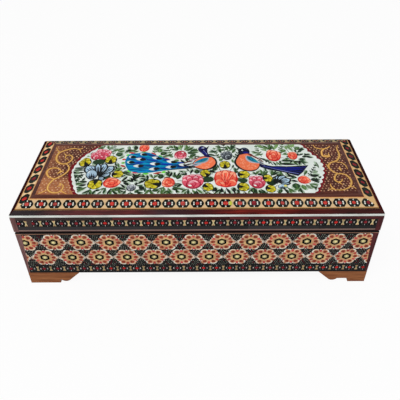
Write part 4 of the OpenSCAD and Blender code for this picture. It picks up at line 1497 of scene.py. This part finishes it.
def edged(t):
    """Spaces grid lines closer together near both edges."""
    return (1 - math.cos(math.pi * t)) / 2


def velvet_pads(name, body, node, panes):
    """Velvet-covered cards. Each pane is a face with its half length, lower and upper edge and thickness."""
    vertices, polygons = [], []
    for face, half, low, high, thick in panes:
        across, rows = max(8, round(half)), max(6, round((high - low) / PAD_ROW))
        first = len(vertices)
        for j in range(rows + 1):
            for i in range(across + 1):
                a, b = edged(i / across) * 2 * half - half, low + edged(j / rows) * (high - low)
                depth = min(a + half, half - a, b - low, high - b, PAD_ROUND)
                fall = math.sqrt(max(0, 1 - (1 - depth / PAD_ROUND) ** 2))
                spot = face.at(a, b, 0)
                nap = NAP * noise.noise(spot * NAP_PER_METRE) * fall
                vertices.append(face.at(a, b, thick * fall - NAP + nap))
        for j in range(rows):
            for i in range(across):
                p = first + j * (across + 1) + i
                polygons.append([p, p + 1, p + across + 2, p + across + 1])
        rim = [first + i for i in range(across)]
        rim += [first + j * (across + 1) + across for j in range(rows)]
        rim += [first + rows * (across + 1) + across - i for i in range(across)]
        rim += [first + (rows - j) * (across + 1) for j in range(rows)]
        polygons.append(rim[::-1])
    piece = mesh_piece(name, vertices, polygons, [VELVET])
    piece.data.polygons.foreach_set("use_smooth", [len(p) == 4 for p in polygons])
    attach(piece, body)
    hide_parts(node)


def linings():
    x, y = Vector((1, 0, 0)), Vector((0, 1, 0))
    lo, hi = (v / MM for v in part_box("floor_lining"))
    floor = (Face(UP * lo.z, x, y), hi.x, lo.y, hi.y, hi.z - lo.z)
    velvet_pads("floor_velvet", "box", "floor_lining", [floor])
    lo, hi = (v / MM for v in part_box("lid_lining"))
    lid = (Face(UP * hi.z, x, -y), hi.x, lo.y, hi.y, hi.z - lo.z)
    velvet_pads("lid_velvet", "lid", "lid_lining", [lid])
    lo, hi = (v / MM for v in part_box("wall_lining"))
    middle = Vector((lo.x + hi.x, lo.y + hi.y, 0)) / 2
    panes = []
    for side in range(4):
        along, out = side_axes(side)
        half, reach = hi.x - middle.x, hi.y - middle.y
        if side % 2:
            half, reach = reach, half
        panes.append((Face(middle + out * reach, -along, UP), half - WALL_CARD, lo.z, hi.z, WALL_CARD))
    velvet_pads("wall_velvet", "box", "wall_lining", panes)


# Finishes of the solids

SAME_PLACE = 0.001
SHARP = math.radians(30)


def softened(node, width, segments=2):
    """Eases a piece's sharp edges, as sanding and handling do."""
    piece = NODES[node]
    weld = piece.modifiers.new("weld", "WELD")
    weld.merge_threshold = SAME_PLACE * MM
    ease = piece.modifiers.new("ease", "BEVEL")
    ease.width, ease.segments = width * MM, segments
    ease.limit_method, ease.angle_limit = "ANGLE", SHARP
    ease.harden_normals = False


def dress(node, material):
    mesh = NODES[node].data
    mesh.materials.clear()
    mesh.materials.append(material)


# Places along the box, each with a dark and a light tone
BEVEL_TONES = (
    (-96, (26, 20, 22), (44, 32, 35)), (-70, (58, 24, 26), (104, 44, 44)),
    (-34, (50, 20, 24), (96, 34, 36)), (-22, (36, 22, 26), (66, 40, 46)), (6, (38, 13, 16), (74, 24, 26)),
    (24, (62, 18, 16), (126, 36, 28)), (60, (46, 14, 14), (104, 30, 24)),
    (84, (34, 16, 16), (70, 28, 26)),
)
# Corner edging: dark wine at the right end, and lighter at the left end, where the lighter tone is a painted
# highlight.
EDGING_TONES_HIGHLIT_LEFT = ((-60, (88, 58, 57), (134, 98, 95)), (60, (58, 25, 29), (94, 44, 46)))
BEVEL_END_TONES = ((0.35, (34, 11, 11)), (0.65, (76, 25, 23)))
FILLET_TONES = ((0.32, (56, 32, 29)), (0.52, (84, 47, 40)), (0.72, (112, 76, 68)))
# Darkened edges: where the dark begins and where it is full, above the lower edge, and its colour.
# On the rim and the lip it is painted shade in the seam between lid and body; on the bone strip it is a wine
# stain.
RIM_SEAM_SHADE = (0.3, 0.45, (14, 8, 8))
LIP_SEAM_SHADE = (0.95, 0.6, (48, 24, 23))
BONE_STAIN = (0.5, 0.35, (66, 38, 38))


def stain_and_shade_heights(node, stain):
    """A darkened edge with its heights in the frame: painted shade of the seam on the rim and the lip, a
    stain on the bone strip.
    """
    clear, full, colour = stain
    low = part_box(node)[0].z / MM
    return low + clear, low + full, colour


def dress_solids():
    brass = satin_brass()
    core = {axis: wood(f"core_wood_{axis}", (150, 108, 64), (186, 142, 92), axis) for axis in "xy"}
    ebony = {axis: ground(f"ebony_{axis}", (11, 13, 13), (27, 27, 28), axis, 0.05) for axis in "xy"}
    tan = {axis: ground(f"tan_ground_{axis}", (198, 150, 98), (230, 188, 136), axis) for axis in "xy"}
    bevel = {"x": by_length("bevel_stain_x", BEVEL_TONES, "x"),
             "y": lacquered("bevel_stain_y", BEVEL_END_TONES, "y", 4.0, 0.0)}
    # The rim's upper edge is painted near-black: the shade in the seam under the lid.
    rim_shade = stain_and_shade_heights("rim_front", RIM_SEAM_SHADE)
    rim = {axis: wood(f"rim_wood_{axis}", (160, 112, 88), (206, 160, 130), axis, stain=rim_shade) for axis in "xy"}
    # The lip is painted darker towards its lower edge: shade where it meets the seam.
    lip = wood("lip_wood", (118, 94, 88), (152, 126, 114), stain=stain_and_shade_heights("lid_lip", LIP_SEAM_SHADE))
    fillet = lacquered("fillet_stain", FILLET_TONES, "x", 3.0)
    # Corner edging, lighter at the left end as painted highlight.
    edging = by_length("edging_wood", EDGING_TONES_HIGHLIT_LEFT, "z")
    foot = wood("foot_wood", (112, 62, 32), (168, 108, 62), "x", 1.3, (0.42, 0.58), 0.15)
    bone = bone_strip(stain_and_shade_heights("bone_line", BONE_STAIN))

    for side, name in enumerate(SIDES):
        axis = "xy"[side % 2]
        # The lid rails wear ebony, which is partly painted shade: it makes the seam under the lid read dark.
        for stem, materials in (("wall", core), ("lid_rail", ebony), ("panel", ebony), ("base_band", ebony),
                                ("lid_band", ebony), ("border", tan), ("bevel", bevel), ("rim", rim)):
            dress(f"{stem}_{name}", materials[axis])
        softened(f"rim_{name}", 0.15)
        softened(f"bevel_{name}", 0.2)
    for corner in CORNERS:
        dress(f"corner_{corner}", edging)
        softened(f"corner_{corner}", 0.25)
        dress(f"foot_{corner}", foot)
        softened(f"foot_{corner}", 1.0, 3)
    for node, material in (("bottom_board", core["x"]), ("lid_board", core["x"]), ("lid_corners", edging),
                           ("lid_lip", lip), ("panel_fillet", fillet), ("bone_line", bone)):
        dress(node, material)
    for node in ("lid_corners", "lid_lip", "bone_line"):
        softened(node, 0.2)
    dress("painted_panel", panel_ground())
    for node in NODES:
        if node.startswith("hinge_"):
            dress(node, brass)


# Camera, floor and light

CAMERA_SPOT = (3.0, -248.5, 235.9)
CAMERA_YAW, CAMERA_PITCH, CAMERA_ROLL = (math.radians(a) for a in (0.264, 38.755, 0.466))
FOCAL_PIXELS = 467.5
PHOTO_PIXELS = 400
SENSOR = 36


def add_camera():
    data = bpy.data.cameras.new("camera")
    data.sensor_width = SENSOR
    data.lens = SENSOR * FOCAL_PIXELS / PHOTO_PIXELS
    camera = in_scene("camera", data)
    turn = Matrix.Rotation(CAMERA_YAW, 4, "Z") @ Matrix.Rotation(math.pi / 2 - CAMERA_PITCH, 4, "X")
    turn = turn @ Matrix.Rotation(-CAMERA_ROLL, 4, "Z")
    camera.matrix_world = Matrix.Translation(Vector(CAMERA_SPOT) * MM) @ turn
    bpy.context.scene.camera = camera


def white_where_seen(owner, strength, lit, white, output):
    """Lights a floor or world one way, and lets the camera and reflections see plain white in its place."""
    owner.use_nodes = True
    owner.node_tree.nodes.clear()
    tree = Tree(owner.node_tree)
    rays = tree.node("LightPath", {})
    seen = rays["Is Camera Ray"]
    for name in ("Is Glossy Ray", "Is Transmission Ray"):
        seen = tree.node("Math", {0: seen, 1: rays[name]}, operation="MAXIMUM")[0]
    share = tree.node("Math", {0: seen, 1: strength}, operation="MULTIPLY")[0]
    both = tree.node("MixShader", {0: share, 1: tree.node(*lit)[0], 2: tree.node(*white)[0]})[0]
    tree.node(output, {"Surface": both})


# Floor and lamps, in metres. Each lamp has its place, size and power
FLOOR_REACH = 4.0
FLOOR_WHITE = 0.93
FLOOR_GREY = (0.86, 0.86, 0.86, 1)
AMBIENT = 0.56
WHITE = (1, 1, 1, 1)
LAMP_AIM = Vector((0, 0, 0.04))
LAMPS = (("key", (-0.4, -0.6, 0.95), 0.7, 5.2), ("fill", (0.8, -0.35, 0.7), 0.8, 1.6))


def add_floor():
    material = bpy.data.materials.new("pale_floor")
    lit, white = ("BsdfDiffuse", {"Color": FLOOR_GREY}), ("Emission", {"Color": WHITE})
    white_where_seen(material, FLOOR_WHITE, lit, white, "OutputMaterial")
    corners = [(x, y, 0) for x, y in strip(-FLOOR_REACH, FLOOR_REACH, -FLOOR_REACH, FLOOR_REACH)]
    floor = mesh_piece("floor", corners, [(0, 1, 2, 3)], [material])


def add_world():
    world = bpy.data.worlds.new("studio")
    bpy.context.scene.world = world
    lit, white = ("Background", {"Color": WHITE, "Strength": AMBIENT}), ("Background", {"Color": WHITE})
    white_where_seen(world, 1.0, lit, white, "OutputWorld")


def add_lamp(name, spot, size, power):
    data = bpy.data.lights.new(name, "AREA")
    data.shape, data.size, data.energy = "DISK", size, power
    lamp = in_scene(name, data)
    lamp.location = spot
    lamp.rotation_euler = (LAMP_AIM - Vector(spot)).to_track_quat("-Z", "Y").to_euler()


add_camera()
add_floor()
add_world()
for lamp in LAMPS:
    add_lamp(*lamp)
bpy.context.scene.view_settings.view_transform = "Standard"

dress_solids()
for side in range(len(SIDES)):
    rosette_panel(side)
    base_band(side)
    lid_band(side)
    border(side)
painted_panel()
linings()

bpy.context.view_layer.update()
